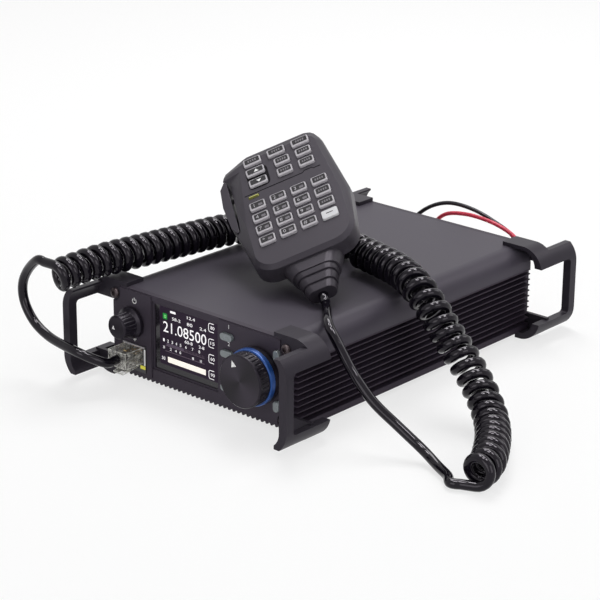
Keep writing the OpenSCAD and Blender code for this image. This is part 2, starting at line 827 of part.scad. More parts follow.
// Clear plug in the socket, with its sprung latch below
module mic_plug() {
    y0 = face_y - jack_proud;
    z = foot_t + jack_z + 2;
    color([0.8, 0.8, 0.78, 0.6])
        difference() {
            union() {
                along_y(y0 - plug_out, y0 + plug_in)
                    translate([jack_at, z])
                        square([plug_w, plug_h], center = true);
                along_x(jack_at - latch_w / 2, jack_at + latch_w / 2)
                    polygon([
                        [y0 + plug_in - 1, z - plug_h / 2 + 0.2],
                        [y0 + plug_in - 1, z - plug_h / 2 - 0.8],
                        [y0 - plug_out + 1, z - plug_h / 2 - 3.8],
                        [y0 - plug_out + 0.4, z - plug_h / 2 - 2.8],
                        [y0 + plug_in - 5, z - plug_h / 2 + 0.2]]);
            }
            for (k = [-3.5:3.5])
                along_y(y0 + plug_in - 6, y0 + plug_in + 1)
                    translate([jack_at + k * 1.02, z + plug_h / 2])
                        square([0.5, 2], center = true);
        }
}

// Control behind the panel: body, bushing and a bore for the turning shaft
module control(x, z, body_r) {
    difference() {
        union() {
            round_y(x, z, -half_d, board_y, body_r);
            round_y(x, z, face_y - bush_out, -half_d + 0.5, bush_r);
        }
        round_y(x, z, face_y - bush_out - 1, board_y - 1.5, shaft_r + shaft_fit);
    }
}

module volume_control() {
    color([0.5, 0.5, 0.52])
        control(vol_at[0], vol_at[1], vol_body_r);
}

module tuning_encoder() {
    color([0.5, 0.5, 0.52])
        control(tune_at[0], tune_at[1], tune_body_r);
}

// Turned knob given by a half profile of radius against distance from the panel
module turned(x, z, gap, profile) {
    translate([x, face_y - gap, z])
        rotate([90, 0, 0])
            rotate_extrude($fn = 72)
                polygon(profile);
}

module knob_shaft(x, z) {
    round_y(x, z, face_y - bush_out - 2, board_y - 2, shaft_r);
}

module volume_knob() {
    z = vol_at[1];
    hollow = bush_out - knob_gap + 0.4;
    color([0.09, 0.09, 0.1]) {
        difference() {
            turned(vol_at[0], z, knob_gap, [
                [bush_r + 0.4, 0], [vol_skirt_r, 0], [vol_skirt_r, 1.6], [vol_r + 0.3, 2.6],
                [vol_r, vol_len - 0.8], [vol_r - 0.8, vol_len], [0, vol_len], [0, hollow],
                [bush_r + 0.4, hollow]]);
            for (k = [0:19])
                translate([vol_at[0], face_y - knob_gap - 3, z])
                    rotate([90, k * 18, 0])
                        translate([vol_r + 0.45, 0, 0])
                            cylinder(h = vol_len, r = 0.6, $fn = 16);
        }
        knob_shaft(vol_at[0], z);
    }
}

module tuning_knob() {
    z = tune_at[1];
    hollow = bush_out - tune_gap + 0.4;
    hub = tune_r - 1.2;
    color([0.12, 0.11, 0.13]) {
        difference() {
            turned(tune_at[0], z, tune_gap, [
                [bush_r + 0.4, 0], [tune_base_r, 0], [tune_base_r, base_t], [hub, base_t],
                [hub, base_t + ring_w], [tune_r, base_t + ring_w], [tune_r, tune_len - 0.6],
                [tune_r - 0.6, tune_len], [0, tune_len], [0, hollow], [bush_r + 0.4, hollow]]);
            for (k = [0:35])
                translate([tune_at[0], face_y - tune_gap - base_t - ring_w - 1, z])
                    rotate([90, k * 10, 0])
                        translate([tune_r + 0.15, 0, 0])
                            cylinder(h = tune_len - base_t - ring_w - 2.6, r = 0.55, $fn = 16);
        }
        knob_shaft(tune_at[0], z);
    }
}

module tuning_ring() {
    color([0.16, 0.33, 0.65])
        turned(tune_at[0], tune_at[1], tune_gap, [
            [tune_r - 1.1, base_t], [ring_r - 0.5, base_t], [ring_r, base_t + 0.5],
            [ring_r, base_t + ring_w - 0.5], [ring_r - 0.5, base_t + ring_w],
            [tune_r - 1.1, base_t + ring_w]]);
}

// Push key of the panel: cap, retaining rim behind the panel and a stem to its switch
module panel_key(x, z, w, h) {
    color([0.72, 0.73, 0.75]) {
        along_y(face_y - key_proud, -half_d)
            translate([x, foot_t + z])
                stadium(w, h);
        along_y(-half_d, -half_d + key_rim_t)
            translate([x, foot_t + z])
                stadium(w + 2 * key_rim, h + 2 * key_rim);
        round_y(x, foot_t + z, -half_d + 0.5, board_y - switch_h - key_travel - 0.1, 1.2);
    }
}

// Local frame of the microphone: keypad middle, face up, head end towards +Y
module mic_frame() {
    translate([mic_x, mic_y, top_z + mic_rise])
        rotate([mic_pitch, -mic_roll, mic_yaw])
            children();
}

// Crowned top end, which cuts an outline off at v
module crowned(v) {
    intersection() {
        children();
        translate([0, v - mic_crown])
            circle(mic_crown, $fn = 180);
    }
}

// Outline of the microphone shell, drawn in by d and wider on the side of the talk bar
module mic_outline(d) {
    crowned(mic_top - d)
        hull()
            for (s = [-1, 1]) {
                side = s < 0 ? mic_side : 0;
                translate([s * (mic_top_half + side - 8), mic_top - 9.5])
                    circle(8 - d, $fn = 24);
                translate([s * (mic_half + side - 8), 5])
                    circle(8 - d, $fn = 24);
                translate([s * (mic_half + side / 2 - 13), -mic_low + 11])
                    circle(11 - d, $fn = 32);
            }
}

// Outline of the flat keypad face, grown by d
module mic_face_outline(d) {
    w = mic_half - mic_bevel;
    crowned(mic_top - mic_bevel + d)
        hull()
            for (s = [-1, 1]) {
                translate([s * (mic_top_half - 8), mic_top - mic_bevel - 6.5])
                    circle(5 + d, $fn = 24);
                translate([s * (w - 6), 2])
                    circle(6 + d, $fn = 24);
                translate([s * (w - 10), -mic_low + 11])
                    circle(10 + d, $fn = 32);
            }
}

// Pocket of the talk bar in the left side of the shells
module ptt_pocket_cut() {
    translate([ptt_wall - 10, ptt_low - ptt_fit, -mic_front_t - ptt_h / 2 - ptt_fit])
        cube([10 + ptt_pocket, ptt_len + 2 * ptt_fit, ptt_h + 2 * ptt_fit]);
}

// The two guide posts of the talk bar, or the bores they slide in
module ptt_posts(x0, x1, r) {
    for (v = [ptt_low + 6, ptt_low + ptt_len - 6])
        translate([x0, v, -mic_front_t - ptt_h / 4 - 0.5])
            rotate([0, 90, 0])
                cylinder(h = x1 - x0, r = r);
}

// A slab of the neck or the strain relief, h thick, with its upper end at v
module neck_slab(v, h, w, d, r) {
    translate([0, v, -mic_front_t - 1.5])
        rotate([90, 0, 0])
            linear_extrude(h)
                rounded(w, d, r);
}

// Half of the neck: above the parting of the shells, or below it
module mic_neck(up) {
    intersection() {
        hull() {
            neck_slab(-mic_low + 8, 6, neck_w, neck_d, 6);
            neck_slab(-mic_low - neck_len + 1, 1, neck_end_w, neck_d - 1, 6);
        }
        translate([-neck_w, -mic_low - neck_len - 1, up ? -mic_front_t : -mic_front_t - neck_d])
            cube([2 * neck_w, neck_len + 20, neck_d]);
    }
}

module mic_front_shell() {
    color([0.27, 0.26, 0.28])
        mic_frame()
            difference() {
                union() {
                    hull() {
                        translate([0, 0, -0.8])
                            linear_extrude(0.8)
                                mic_face_outline(0);
                        translate([0, 0, -2.4])
                            linear_extrude(0.4)
                                mic_face_outline(0.6 * mic_bevel);
                        translate([0, 0, -mic_front_t])
                            linear_extrude(mic_front_t - 5)
                                mic_outline(0);
                    }
                    mic_neck(true);
                }
                translate([0, 0, -mic_front_t - 1])
                    linear_extrude(mic_front_t + 1 - mic_wall)
                        key_room(0.4);
                for (k = KEYS)
                    translate([k[0], k[1], -mic_wall - 1])
                        linear_extrude(mic_wall + 2)
                            rounded(k[2] + 2 * key_fit, k[3] + 2 * key_fit, pad_r + key_fit);
                ptt_pocket_cut();
            }
}

// Room for the keys under the face, wider at the keypad than at the upper keys
module key_room(grow) {
    low = 1.5 * pad_row + pad_h / 2 + key_rim + grow;
    side = 1.5 * pad_col + pad_w / 2 + key_rim + grow;
    top = upper_v + 2 * upper_pitch + upper_h / 2 + key_rim + grow;
    top_side = upper_col + upper_w / 2 + 0.1 + key_rim + grow;
    translate([-side, -low])
        square([2 * side, 2 * low]);
    translate([-top_side, -low])
        square([2 * top_side, top + low]);
}

module mic_rear_shell() {
    back = mic_front_t + mic_rear_t;
    color([0.24, 0.23, 0.25])
        mic_frame() {
            difference() {
                union() {
                    hull() {
                        translate([0, 0, -mic_front_t - 3])
                            linear_extrude(3)
                                mic_outline(0);
                        translate([0, 9, -back])
                            linear_extrude(1)
                                rounded(30, 50, 8);
                    }
                    mic_neck(false);
                }
                ptt_pocket_cut();
                ptt_posts(ptt_wall, ptt_wall + ptt_pocket + 3 + ptt_travel + 0.6, ptt_post_r + shaft_fit);
            }
            translate([0, 0, -mic_front_t - 0.5])
                linear_extrude(mic_front_t + 0.5 - mic_wall - key_rim_t - pad_travel - 0.4)
                    key_room(0.1);
        }
}

// Strain relief: a tapered boot with two grooves round it
module mic_strain_relief() {
    v0 = -mic_low - neck_len;
    color([0.2, 0.19, 0.21])
        mic_frame()
            difference() {
                hull() {
                    neck_slab(v0, 1, relief_w, relief_d, 5);
                    neck_slab(v0 - relief_len + 1, 1, relief_end_w, relief_end_d, 4);
                }
                for (k = [0.25, 0.62])
                    difference() {
                        neck_slab(v0 - relief_len * k, 1.1, 2 * relief_w, 2 * relief_d, 5);
                        neck_slab(v0 - relief_len * k + 1, 4, relief_w - (relief_w - relief_end_w) * k - 1.8,
                            relief_d - (relief_d - relief_end_d) * k - 1.8, 3.5);
                    }
            }
}

// Talk bar: a long push bar in the left side on two guide posts
module mic_talk_bar() {
    x0 = ptt_wall - ptt_out;
    x1 = ptt_wall + ptt_pocket - ptt_travel - 0.8;
    y0 = ptt_low;
    color([0.22, 0.21, 0.23])
        mic_frame() {
            translate([0, 0, -mic_front_t - ptt_h / 2])
                linear_extrude(ptt_h)
                    polygon([[x1, y0], [x1, y0 + ptt_len], [x0 + 3.4, y0 + ptt_len],
                        [x0 + 0.9, y0 + ptt_len - 4], [x0, y0 + ptt_len * 0.55],
                        [x0 + 1.4, y0 + 4], [x0 + 3.4, y0]]);
            ptt_posts(x1 - 1, ptt_wall + ptt_pocket + 3, ptt_post_r);
        }
}

// Microphone key: cap, retaining rim under the face and the pad below it
module mic_key(i) {
    k = KEYS[i - 1];
    color(i == 16 ? [0.93, 0.93, 0.94] : [0.75, 0.73, 0.78])
        mic_frame()
            translate([k[0], k[1], 0]) {
                translate([0, 0, -mic_wall - 0.1])
                    linear_extrude(mic_wall + 0.1 + pad_proud)
                        rounded(k[2], k[3], pad_r);
                translate([0, 0, -mic_wall - key_rim_t])
                    linear_extrude(key_rim_t)
                        rounded(k[2] + 2 * key_rim, k[3] + 2 * key_rim, pad_r);
            }
}

module antenna_socket() {
    color([0.7, 0.68, 0.62])
        translate([ant_x, half_d + panel_t, foot_t + rear_z])
            rotate([-90, 0, 0])
                rotate_extrude()
                    polygon([[0, -panel_t], [ant_r, -panel_t], [ant_r, 0], [ant_flange_r, 0],
                        [ant_flange_r, ant_flange_t], [ant_r, ant_flange_t], [ant_r, ant_flange_t + ant_len],
                        [ant_r - 1.5, ant_flange_t + ant_len], [ant_r - 1.5, ant_flange_t + 4],
                        [ant_bore_r + 2, ant_flange_t + 4], [ant_bore_r + 2, ant_flange_t + ant_len - 2],
                        [ant_bore_r, ant_flange_t + ant_len - 2], [ant_bore_r, ant_flange_t],
                        [0, ant_flange_t]]);
}

module power_inlet() {
    y0 = half_d + panel_t;
    color([0.12, 0.12, 0.12]) {
        along_y(y0, y0 + pwr_out)
            translate([pwr_at, foot_t + rear_z])
                rounded(pwr_w, pwr_h, 1.5);
        along_y(half_d, y0 + 1)
            translate([pwr_at, foot_t + rear_z])
                square([pwr_w - 2.3, pwr_h - 2.3], center = true);
    }
}

// Curly cord: a helix about its lying axis whose winding reverses once, in a hairpin bend
curl_path = smooth(CURL_AXIS, 8);
curl_run = run(curl_path);
curl_len = curl_run[len(curl_run) - 1];
// Winding up to each point of the axis: the pitch opens in bends, so that turns don't meet inside
function curl_bow(i) =
    let (a = max(i - 6, 0), b = min(i + 6, len(curl_path) - 1))
    norm(heading(curl_path, b) - heading(curl_path, a)) / (curl_run[b] - curl_run[a]);
curl_tight = [for (i = [0:len(curl_path) - 1]) 1 - (curl_d - cord_d) / 2 * curl_bow(i)];
curl_wind = [for (i = 0, w = 0; i < len(curl_path);
    i = i + 1, w = i < len(curl_path) ? w + curl_tight[i] * (curl_run[i] - curl_run[i - 1]) : w)
    [curl_run[i], w]];
wind_len = curl_wind[len(curl_wind) - 1][1];
function wind(s) = lookup(s, curl_wind);
curl_turns_b = curl_turns_a + 0.5;
curl_n = 8 * (2 * curl_turns_a + 1) - 4;
wind_turn = wind_len * curl_turns_a / (curl_turns_a + curl_turns_b);
curl_rate = PI * (curl_d - cord_d) * (curl_turns_a + curl_turns_b) / wind_len;
curl_ease = curl_bend * curl_rate / sqrt(1 + curl_rate * curl_rate);
function hairpin(x) = (curl_bend - sqrt(curl_bend * curl_bend - x * x)) / curl_rate;
function wound(x) = x < curl_ease ? hairpin(x) : hairpin(curl_ease) + x - curl_ease;
function curl_angle(s) =
    let (w = wind(s) - wind_turn)
    w < 0
    ? 90 - 360 * curl_turns_a * (1 - wound(-w) / wound(wind_turn))
    : 90 - 360 * curl_turns_a + 360 * curl_turns_b * wound(w) / wound(wind_len - wind_turn);
function curl_dir(s) =
    let (a = at(curl_path, curl_run, max(s - 1, 0)), b = at(curl_path, curl_run, min(s + 1, curl_len)))
    unit(b - a);
function curl_across(s) = unit(6 * unit(cross(curl_dir(s), [0, 0, 1])) + curl_dir(s));
function curl_out(s) =
    let (t = curl_dir(s), n = unit(cross(t, [0, 0, 1])), u = cross(n, t), a = curl_angle(s))
    cos(a) * n + sin(a) * u;
function curl_point(s) = at(curl_path, curl_run, s) + (curl_d - cord_d) / 2 * curl_out(s);
curl_s = [for (i = [0:curl_n]) curl_len * i / curl_n];
curl_mid = [for (s = curl_s) curl_point(s)];
curl_first = curl_mid[0] - cord_d * curl_across(0);
curl_last = curl_mid[curl_n] + cord_d * curl_across(curl_len);
curl_all = concat([curl_first], curl_mid, [curl_last]);
curl_side = concat([curl_out(0)], [for (s = curl_s) curl_out(s)], [curl_out(curl_len)]);
curl_gap = least_gap(curl_mid, 7, cord_d);
echo(curl_gap = curl_gap, curl_axis_length = curl_len, cord_in_curl = run(curl_all)[curl_n + 2]);

module mic_cord_curl() {
    color([0.07, 0.07, 0.08])
        tube(curl_all, curl_side, cord_d / 2, 6);
}

// Straight tail from the plug to the first curl
plug_end = [jack_at, face_y - jack_proud - plug_out, foot_t + jack_z + 2];
function tail(start, out, way, end, across) =
    concat([start], smooth(concat([start + 0.4 * cord_d * out, start + 1.4 * cord_d * out], way,
        [end - 1.4 * cord_d * across, end - 0.4 * cord_d * across]), 3), [end]);
plug_tail = tail(plug_end, [0, -1, 0], PLUG_TAIL, curl_first, curl_across(0));

module mic_plug_tail() {
    color([0.07, 0.07, 0.08])
        tube(plug_tail, sides(plug_tail), cord_d / 2, 8);
}

function turn(a, b, angle) = [a * cos(angle) - b * sin(angle), a * sin(angle) + b * cos(angle)];
function turn_x(p) = let (q = turn(p[1], p[2], mic_pitch)) [p[0], q[0], q[1]];
function turn_y(p) = let (q = turn(p[0], p[2], mic_roll)) [q[0], p[1], q[1]];
function turn_z(p) = let (q = turn(p[0], p[1], mic_yaw)) [q[0], q[1], p[2]];
function mic_place(p) = [mic_x, mic_y, top_z + mic_rise] + turn_z(turn_y(turn_x(p)));
relief_end = mic_place([0, -mic_low - neck_len - relief_len, -mic_front_t - 1.5]);
relief_dir = turn_z(turn_y(turn_x([0, -1, 0])));
shell_tail = tail(relief_end, relief_dir, SHELL_TAIL, curl_last, -curl_across(curl_len));

module mic_shell_tail() {
    color([0.07, 0.07, 0.08])
        tube(shell_tail, sides(shell_tail), cord_d / 2, 8);
}

// Put-away coil: loops spiral in on the ground, climb a layer and spiral out again
coil_step = lead_d + coil_gap;
coil_steps = 18;
coil_n = coil_steps * (2 * coil_loops) + coil_steps / 2;
function coil_at(c, i, a0) =
    let (t = i / coil_steps, in = min(t, coil_loops), up = min(max((t - coil_loops) / 0.5, 0), 1),
        out = max(t - coil_loops - 0.5, 0), r = coil_r - lead_d / 2 - coil_step * (in - out),
        a = a0 - 360 * t)
    [c[0] + r * cos(a), c[1] + r * sin(a), lead_d / 2 + 0.1 + coil_step * up];
function coil_points(c, a0) =
    let (p = [for (i = [0:coil_n]) coil_at(c, i, a0)])
    concat([p[0] - lead_d * unit(p[1] - p[0])], p, [p[coil_n] + lead_d * unit(p[coil_n] - p[coil_n - 1])]);
red_coil = coil_points(RED_COIL, 180);
black_coil = coil_points(BLACK_COIL, 180);
coil_self_gap = least_gap(red_coil, coil_steps / 2, lead_d);
echo(coil_gap = coil_self_gap, cord_in_coil = run(red_coil)[len(red_coil) - 1]);

module lead_coil(p, c) {
    color(c)
        tube(p, [for (i = [0:len(p) - 1]) [0, 0, 1]], lead_d / 2, 6);
}

module power_coil_red() {
    lead_coil(red_coil, [0.75, 0.1, 0.15]);
}

module power_coil_black() {
    lead_coil(black_coil, [0.08, 0.08, 0.09]);
}

inlet_y = half_d + panel_t + pwr_out;
inlet_z = foot_t + rear_z;
function lead_points(x, arch, coil) =
    smooth(concat([[x, inlet_y, inlet_z], [x, inlet_y + lead_d, inlet_z]], arch,
        [coil[0] - lead_d * unit(coil[1] - coil[0]), coil[0]]), 4);
red_lead = lead_points(pwr_at + pwr_pitch / 2, RED_ARCH, red_coil);
black_lead = lead_points(pwr_at - pwr_pitch / 2, BLACK_ARCH, black_coil);
echo(plug_tail = run(plug_tail)[len(plug_tail) - 1], shell_tail = run(shell_tail)[len(shell_tail) - 1]);
echo(red_lead = run(red_lead)[len(red_lead) - 1], black_lead = run(black_lead)[len(black_lead) - 1]);

module power_lead_red() {
    color([0.75, 0.1, 0.15])
        tube(red_lead, sides(red_lead), lead_d / 2, 8);
}

module power_lead_black() {
    color([0.08, 0.08, 0.09])
        tube(black_lead, sides(black_lead), lead_d / 2, 8);
}

upper_case();
lower_case();
front_panel();
rear_panel();
display_module();
front_board();
mic_socket();
volume_control();
tuning_encoder();
front_handles();
rear_handles();
handle_screws();
antenna_socket();
power_inlet();
volume_knob();
tuning_knob();
tuning_ring();
panel_key(soft_at, soft_z + 3 * soft_pitch, soft_w, soft_h);  // soft_key_1
panel_key(soft_at, soft_z + 2 * soft_pitch, soft_w, soft_h);  // soft_key_2
panel_key(soft_at, soft_z + soft_pitch, soft_w, soft_h);  // soft_key_3
panel_key(soft_at, soft_z, soft_w, soft_h);  // soft_key_4
panel_key(side_at, side_up, side_w, side_h);  // side_key_upper
panel_key(side_at, side_z_low, side_w, side_h);  // side_key_lower
mic_front_shell();
mic_rear_shell();
mic_strain_relief();
mic_talk_bar();
mic_plug();
mic_plug_tail();
mic_shell_tail();
mic_cord_curl();
power_lead_red();
power_lead_black();
power_coil_red();
power_coil_black();
for (i = [1:len(KEYS)])
    mic_key(i);
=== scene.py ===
# %% [markdown]
# # A mobile transceiver and its hand microphone
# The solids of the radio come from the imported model, in metres, with +X to the right, +Y to the rear and
# +Z up. This lesson dresses them: it lays the cords, rounds the edges, prints the screen and the key
# legends, mixes the finishes and sets a small studio round the whole thing.

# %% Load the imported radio
import math
import bmesh
import bpy
import numpy as np
from mathutils import Euler, Matrix, Vector


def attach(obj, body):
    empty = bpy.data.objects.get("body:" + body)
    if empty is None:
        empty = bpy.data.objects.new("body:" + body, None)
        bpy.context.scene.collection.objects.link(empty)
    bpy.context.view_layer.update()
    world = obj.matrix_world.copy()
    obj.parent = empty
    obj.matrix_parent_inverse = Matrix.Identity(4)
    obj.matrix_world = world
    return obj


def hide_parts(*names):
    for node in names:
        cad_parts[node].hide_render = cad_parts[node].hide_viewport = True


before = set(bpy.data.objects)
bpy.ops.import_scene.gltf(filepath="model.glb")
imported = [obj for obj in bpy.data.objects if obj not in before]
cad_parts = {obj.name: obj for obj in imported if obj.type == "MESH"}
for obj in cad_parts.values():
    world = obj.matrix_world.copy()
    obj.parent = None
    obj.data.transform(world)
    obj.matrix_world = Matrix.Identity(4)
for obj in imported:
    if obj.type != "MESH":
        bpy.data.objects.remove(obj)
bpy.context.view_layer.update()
MM = 0.001

# %% [markdown]
# ## Camera
# The photograph was taken from the front right, a little above, with a long lens. Its place and turn were
# worked out from the corners of the case, so the render can be laid over the photograph.

# %% Camera
lens = bpy.data.cameras.new("camera")
lens.lens = 131.1
lens.sensor_width = 36
camera = bpy.data.objects.new("camera", lens)
camera.location = (0.6709, -0.7819, 0.4087)
camera.rotation_euler = [math.radians(a) for a in (69.7155, -0.4, 41.5396)]
bpy.context.scene.collection.objects.link(camera)
bpy.context.scene.camera = camera
print("camera", [round(v, 3) for v in camera.location])

# %% [markdown]
# ## Small helpers
# Every finished piece sits at the origin with its place in its mesh. These few helpers put a mesh into the
# scene, join several meshes into one, and hand a piece to the body that it moves with.

# %% Helpers for pieces
def into_scene(name, mesh):
    piece = bpy.data.objects.new(name, mesh)
    bpy.context.scene.collection.objects.link(piece)
    return piece


def plain_mesh(piece):
    """What a piece looks like with its modifiers worked in."""
    seen = piece.evaluated_get(bpy.context.evaluated_depsgraph_get())
    return bpy.data.meshes.new_from_object(seen)


def keep_shape(piece):
    """Works a piece's modifiers into its mesh."""
    made = plain_mesh(piece)
    piece.modifiers.clear()
    piece.data = made


def from_shape(name, shape, material=None):
    """Makes a mesh from a bmesh, which is let go."""
    mesh = bpy.data.meshes.new(name)
    shape.to_mesh(mesh)
    shape.free()
    if material:
        mesh.materials.append(material)
    return mesh


def crease(piece, degrees):
    """Smooth shading, with a sharp edge where the surface turns by more than an angle."""
    piece.data.polygons.foreach_set("use_smooth", [True] * len(piece.data.polygons))
    piece.data.set_sharp_from_angle(angle=math.radians(degrees))


def settle(piece, body, finish=None, smooth=None):
    """Gives a piece its finish and smoothness, and lets it ride on a body."""
    if finish is not None:
        piece.data.materials.clear()
        piece.data.materials.append(finish)
    if smooth is not None:
        crease(piece, smooth)
    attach(piece, body)
    return piece


def gather(name, meshes):
    """Joins meshes into one piece, in which every face keeps its material."""
    whole = bmesh.new()
    mats = []
    for mesh in meshes:
        part = bmesh.new()
        part.from_mesh(mesh)
        for face in part.faces:
            m = mesh.materials[face.material_index]
            if m not in mats:
                mats.append(m)
            face.material_index = mats.index(m)
        held = from_shape("held", part)
        whole.from_mesh(held)
        bpy.data.meshes.remove(held)
    joined = from_shape(name, whole)
    for m in mats:
        joined.materials.append(m)
    return into_scene(name, joined)


# %% [markdown]
# ## Shader sums
# A finish is easiest to read as a sum, such as roughness = 0.4 + grain * 0.1. `Wire` wraps one socket of a
# material and turns + and * into Math nodes. `Finish` makes the material, and its one `node`
# method adds any other node from its type, settings and inputs.

# %% Finish and Wire
class Wire:
    def __init__(self, finish, socket):
        self.finish = finish
        self.socket = socket

    def _sum(self, operation, first, second):
        return self.finish.math(operation, first, second)

    def __add__(self, other):
        return self._sum("ADD", self, other)

    def __mul__(self, other):
        return self._sum("MULTIPLY", self, other)

    __radd__ = __add__
    __rmul__ = __mul__


class Finish:
    def __init__(self, name, constants):
        self.material = bpy.data.materials.new(name)
        self.material.use_nodes = True
        self.tree = self.material.node_tree
        self.shader = self.tree.nodes["Principled BSDF"]
        for key, value in constants.items():
            self.shader.inputs[key].default_value = value

    def _join(self, socket, value):
        if isinstance(value, Wire):
            self.tree.links.new(value.socket, socket)
        else:
            socket.default_value = value

    def node(self, kind, settings=None, inputs=None, out=None):
        made = self.tree.nodes.new(kind)
        for key, value in (settings or {}).items():
            setattr(made, key, value)
        for key, value in (inputs or {}).items():
            socket = made.inputs[key] if isinstance(key, int) else next(
                s for s in made.inputs if s.enabled and key in (s.identifier, s.name))
            self._join(socket, value)
        outputs = [s for s in made.outputs if s.enabled]
        return Wire(self, outputs[0] if out is None else next(s for s in outputs if s.name == out))

    def mix(self, factor, first, second):
        return self.node("ShaderNodeMix", {"data_type": "RGBA"},
                         {"Factor_Float": factor, "A_Color": first, "B_Color": second})

    def place(self):
        return self.node("ShaderNodeTexCoord", out="Object")

    def noise(self, place, scale, detail):
        return self.node("ShaderNodeTexNoise", None,
                         {"Vector": place, "Scale": scale, "Detail": detail}, "Fac")

    def noise_on(self, run, detail):
        return self.node("ShaderNodeTexNoise", {"noise_dimensions": "1D"},
                         {"W": run, "Detail": detail}, "Fac")

    def math(self, operation, *values):
        return self.node("ShaderNodeMath", {"operation": operation}, dict(enumerate(values)))

    def feed(self, key, value):
        self._join(self.shader.inputs[key], value)
        return self

    def bump(self, height, strength, depth):
        made = self.node("ShaderNodeBump", None, {"Height": height, "Strength": strength, "Distance": depth})
        return self.feed("Normal", made)


def tint(colour, k):
    return tuple(min(1.0, c * k) for c in colour) + (1.0,)


GRAIN_DEPTH = 0.0001


def grained(name, colour, rough, grain, strength, swing=0.18, constants=None):
    """Moulded plastic or coated metal: a fine grain in the bump and slow drifts of tone and gloss."""
    finish = Finish(name, constants or {})
    place = finish.place()
    fine = finish.noise(place, grain, 2.0)
    drift = finish.noise(place, 22.0, 4.0)
    finish.feed("Base Color", finish.mix(drift, tint(colour, 1 - swing), tint(colour, 1 + swing)))
    finish.feed("Roughness", rough - 0.08 + drift * 0.1 + fine * 0.06)
    finish.bump(fine, strength, GRAIN_DEPTH)
    return finish.material


# %% [markdown]
# ## Finishes
# The case is powder coated in a soft black, the panel and the knobs are darker, and the microphone is a warm
# dark grey plastic. The cords have a glossy jacket, so they catch long highlights.

# %% Finishes of the radio
DULL = {"Specular IOR Level": 0.16, "Specular Tint": (0.96, 0.86, 1.0, 1.0)}
SATIN = {"Specular IOR Level": 0.22, "Specular Tint": (0.96, 0.88, 1.0, 1.0)}
METAL = {"Metallic": 1.0}
CASE = grained("case_coat", (0.054, 0.048, 0.062), 0.42, 2600, 0.14, 0.12, DULL)
FINS = grained("fin_coat", (0.028, 0.021, 0.032), 0.5, 2200, 0.15, 0.16, DULL)
GUARD = grained("guard_coat", (0.024, 0.021, 0.028), 0.4, 2000, 0.12, 0.14, DULL)
PANEL = grained("panel_coat", (0.04, 0.033, 0.045), 0.46, 2400, 0.15, 0.14, DULL)
MIC = grained("mic_plastic", (0.037, 0.033, 0.041), 0.42, 2000, 0.2, 0.12, SATIN)
MIC_DARK = grained("mic_grip", (0.024, 0.021, 0.027), 0.42, 1500, 0.3, 0.14, SATIN)
PAD = grained("pad_key", (0.4, 0.38, 0.41), 0.45, 1800, 0.08, 0.06)
PAD_WHITE = grained("pad_key_white", (0.62, 0.62, 0.64), 0.45, 1800, 0.08, 0.03)
PAD_TOP = grained("pad_window", (0.012, 0.01, 0.013), 0.6, 1800, 0.05, 0.14, {"Specular IOR Level": 0.2})
# Painted shade: a near-black matt sheet laid in the microphone's groove and recess.
PAINTED_GROOVE_SHADE = grained("groove_shade", (0.005, 0.004, 0.006), 0.8, 1800, 0.05, 0.14, {"Specular IOR Level": 0.08})
SOFT_KEY = grained("soft_key", (0.2, 0.225, 0.235), 0.26, 1500, 0.05, 0.06)
SHELL_BLACK = grained("inlet_plastic", (0.02, 0.02, 0.021), 0.5, 1800, 0.2)
BOARD = grained("board_lacquer", (0.02, 0.12, 0.07), 0.4, 900, 0.1)
RESIN = grained("socket_resin", (0.03, 0.028, 0.032), 0.35, 1600, 0.08, 0.1)
STEEL = grained("turned_steel", (0.5, 0.5, 0.51), 0.3, 2400, 0.1, 0.08, METAL)
NICKEL = grained("socket_nickel", (0.62, 0.6, 0.56), 0.25, 1800, 0.08, 0.08, METAL)
TINNED = grained("tinned_wire", (0.6, 0.58, 0.55), 0.3, 1800, 0.1, 0.1, METAL)
SCREW = grained("screw_steel", (0.06, 0.044, 0.047), 0.36, 2500, 0.1, 0.12, {"Metallic": 0.6})
RING = grained("ring_blue", (0.009, 0.06, 0.25), 0.3, 2500, 0.06, 0.1, {"Metallic": 0.35})
INK = grained("white_ink", (0.78, 0.78, 0.78), 0.5, 3000, 0.05, 0.03)
INK_GREY = grained("grey_ink", (0.17, 0.16, 0.175), 0.5, 3000, 0.05, 0.05, DULL)
GOLD = grained("contact_gold", (0.75, 0.52, 0.2), 0.25, 3000, 0.05, 0.08, METAL)
TIE = grained("tie_plastic", (0.02, 0.02, 0.021), 0.5, 900, 0.3)
print("finishes:", len([m for m in bpy.data.materials if m.use_nodes]))


# %% Finishes of jackets, knobs, glass and light
def jacket(name, colour, rough):
    """Cord jacket: smooth, with faint marks along its length."""
    finish = Finish(name, {"Specular IOR Level": 0.24, "Specular Tint": (0.98, 0.92, 1.0, 1.0)})
    along = finish.node("ShaderNodeAttribute", {"attribute_name": "along"}, out="Fac")
    marks = finish.noise(finish.place(), 260.0, 3.0)
    run = finish.noise_on(along * 90.0, 2.0)
    finish.feed("Base Color", finish.mix(run, tint(colour, 0.8), tint(colour, 1.2)))
    finish.feed("Roughness", rough + marks * 0.06)
    finish.bump(marks, 0.1, GRAIN_DEPTH)
    return finish.material


CORD = jacket("cord_black", (0.005, 0.004, 0.007), 0.04)
LEAD_RED = jacket("lead_red", (0.7, 0.05, 0.09), 0.3)
LEAD_BLACK = jacket("lead_black", (0.016, 0.015, 0.018), 0.25)


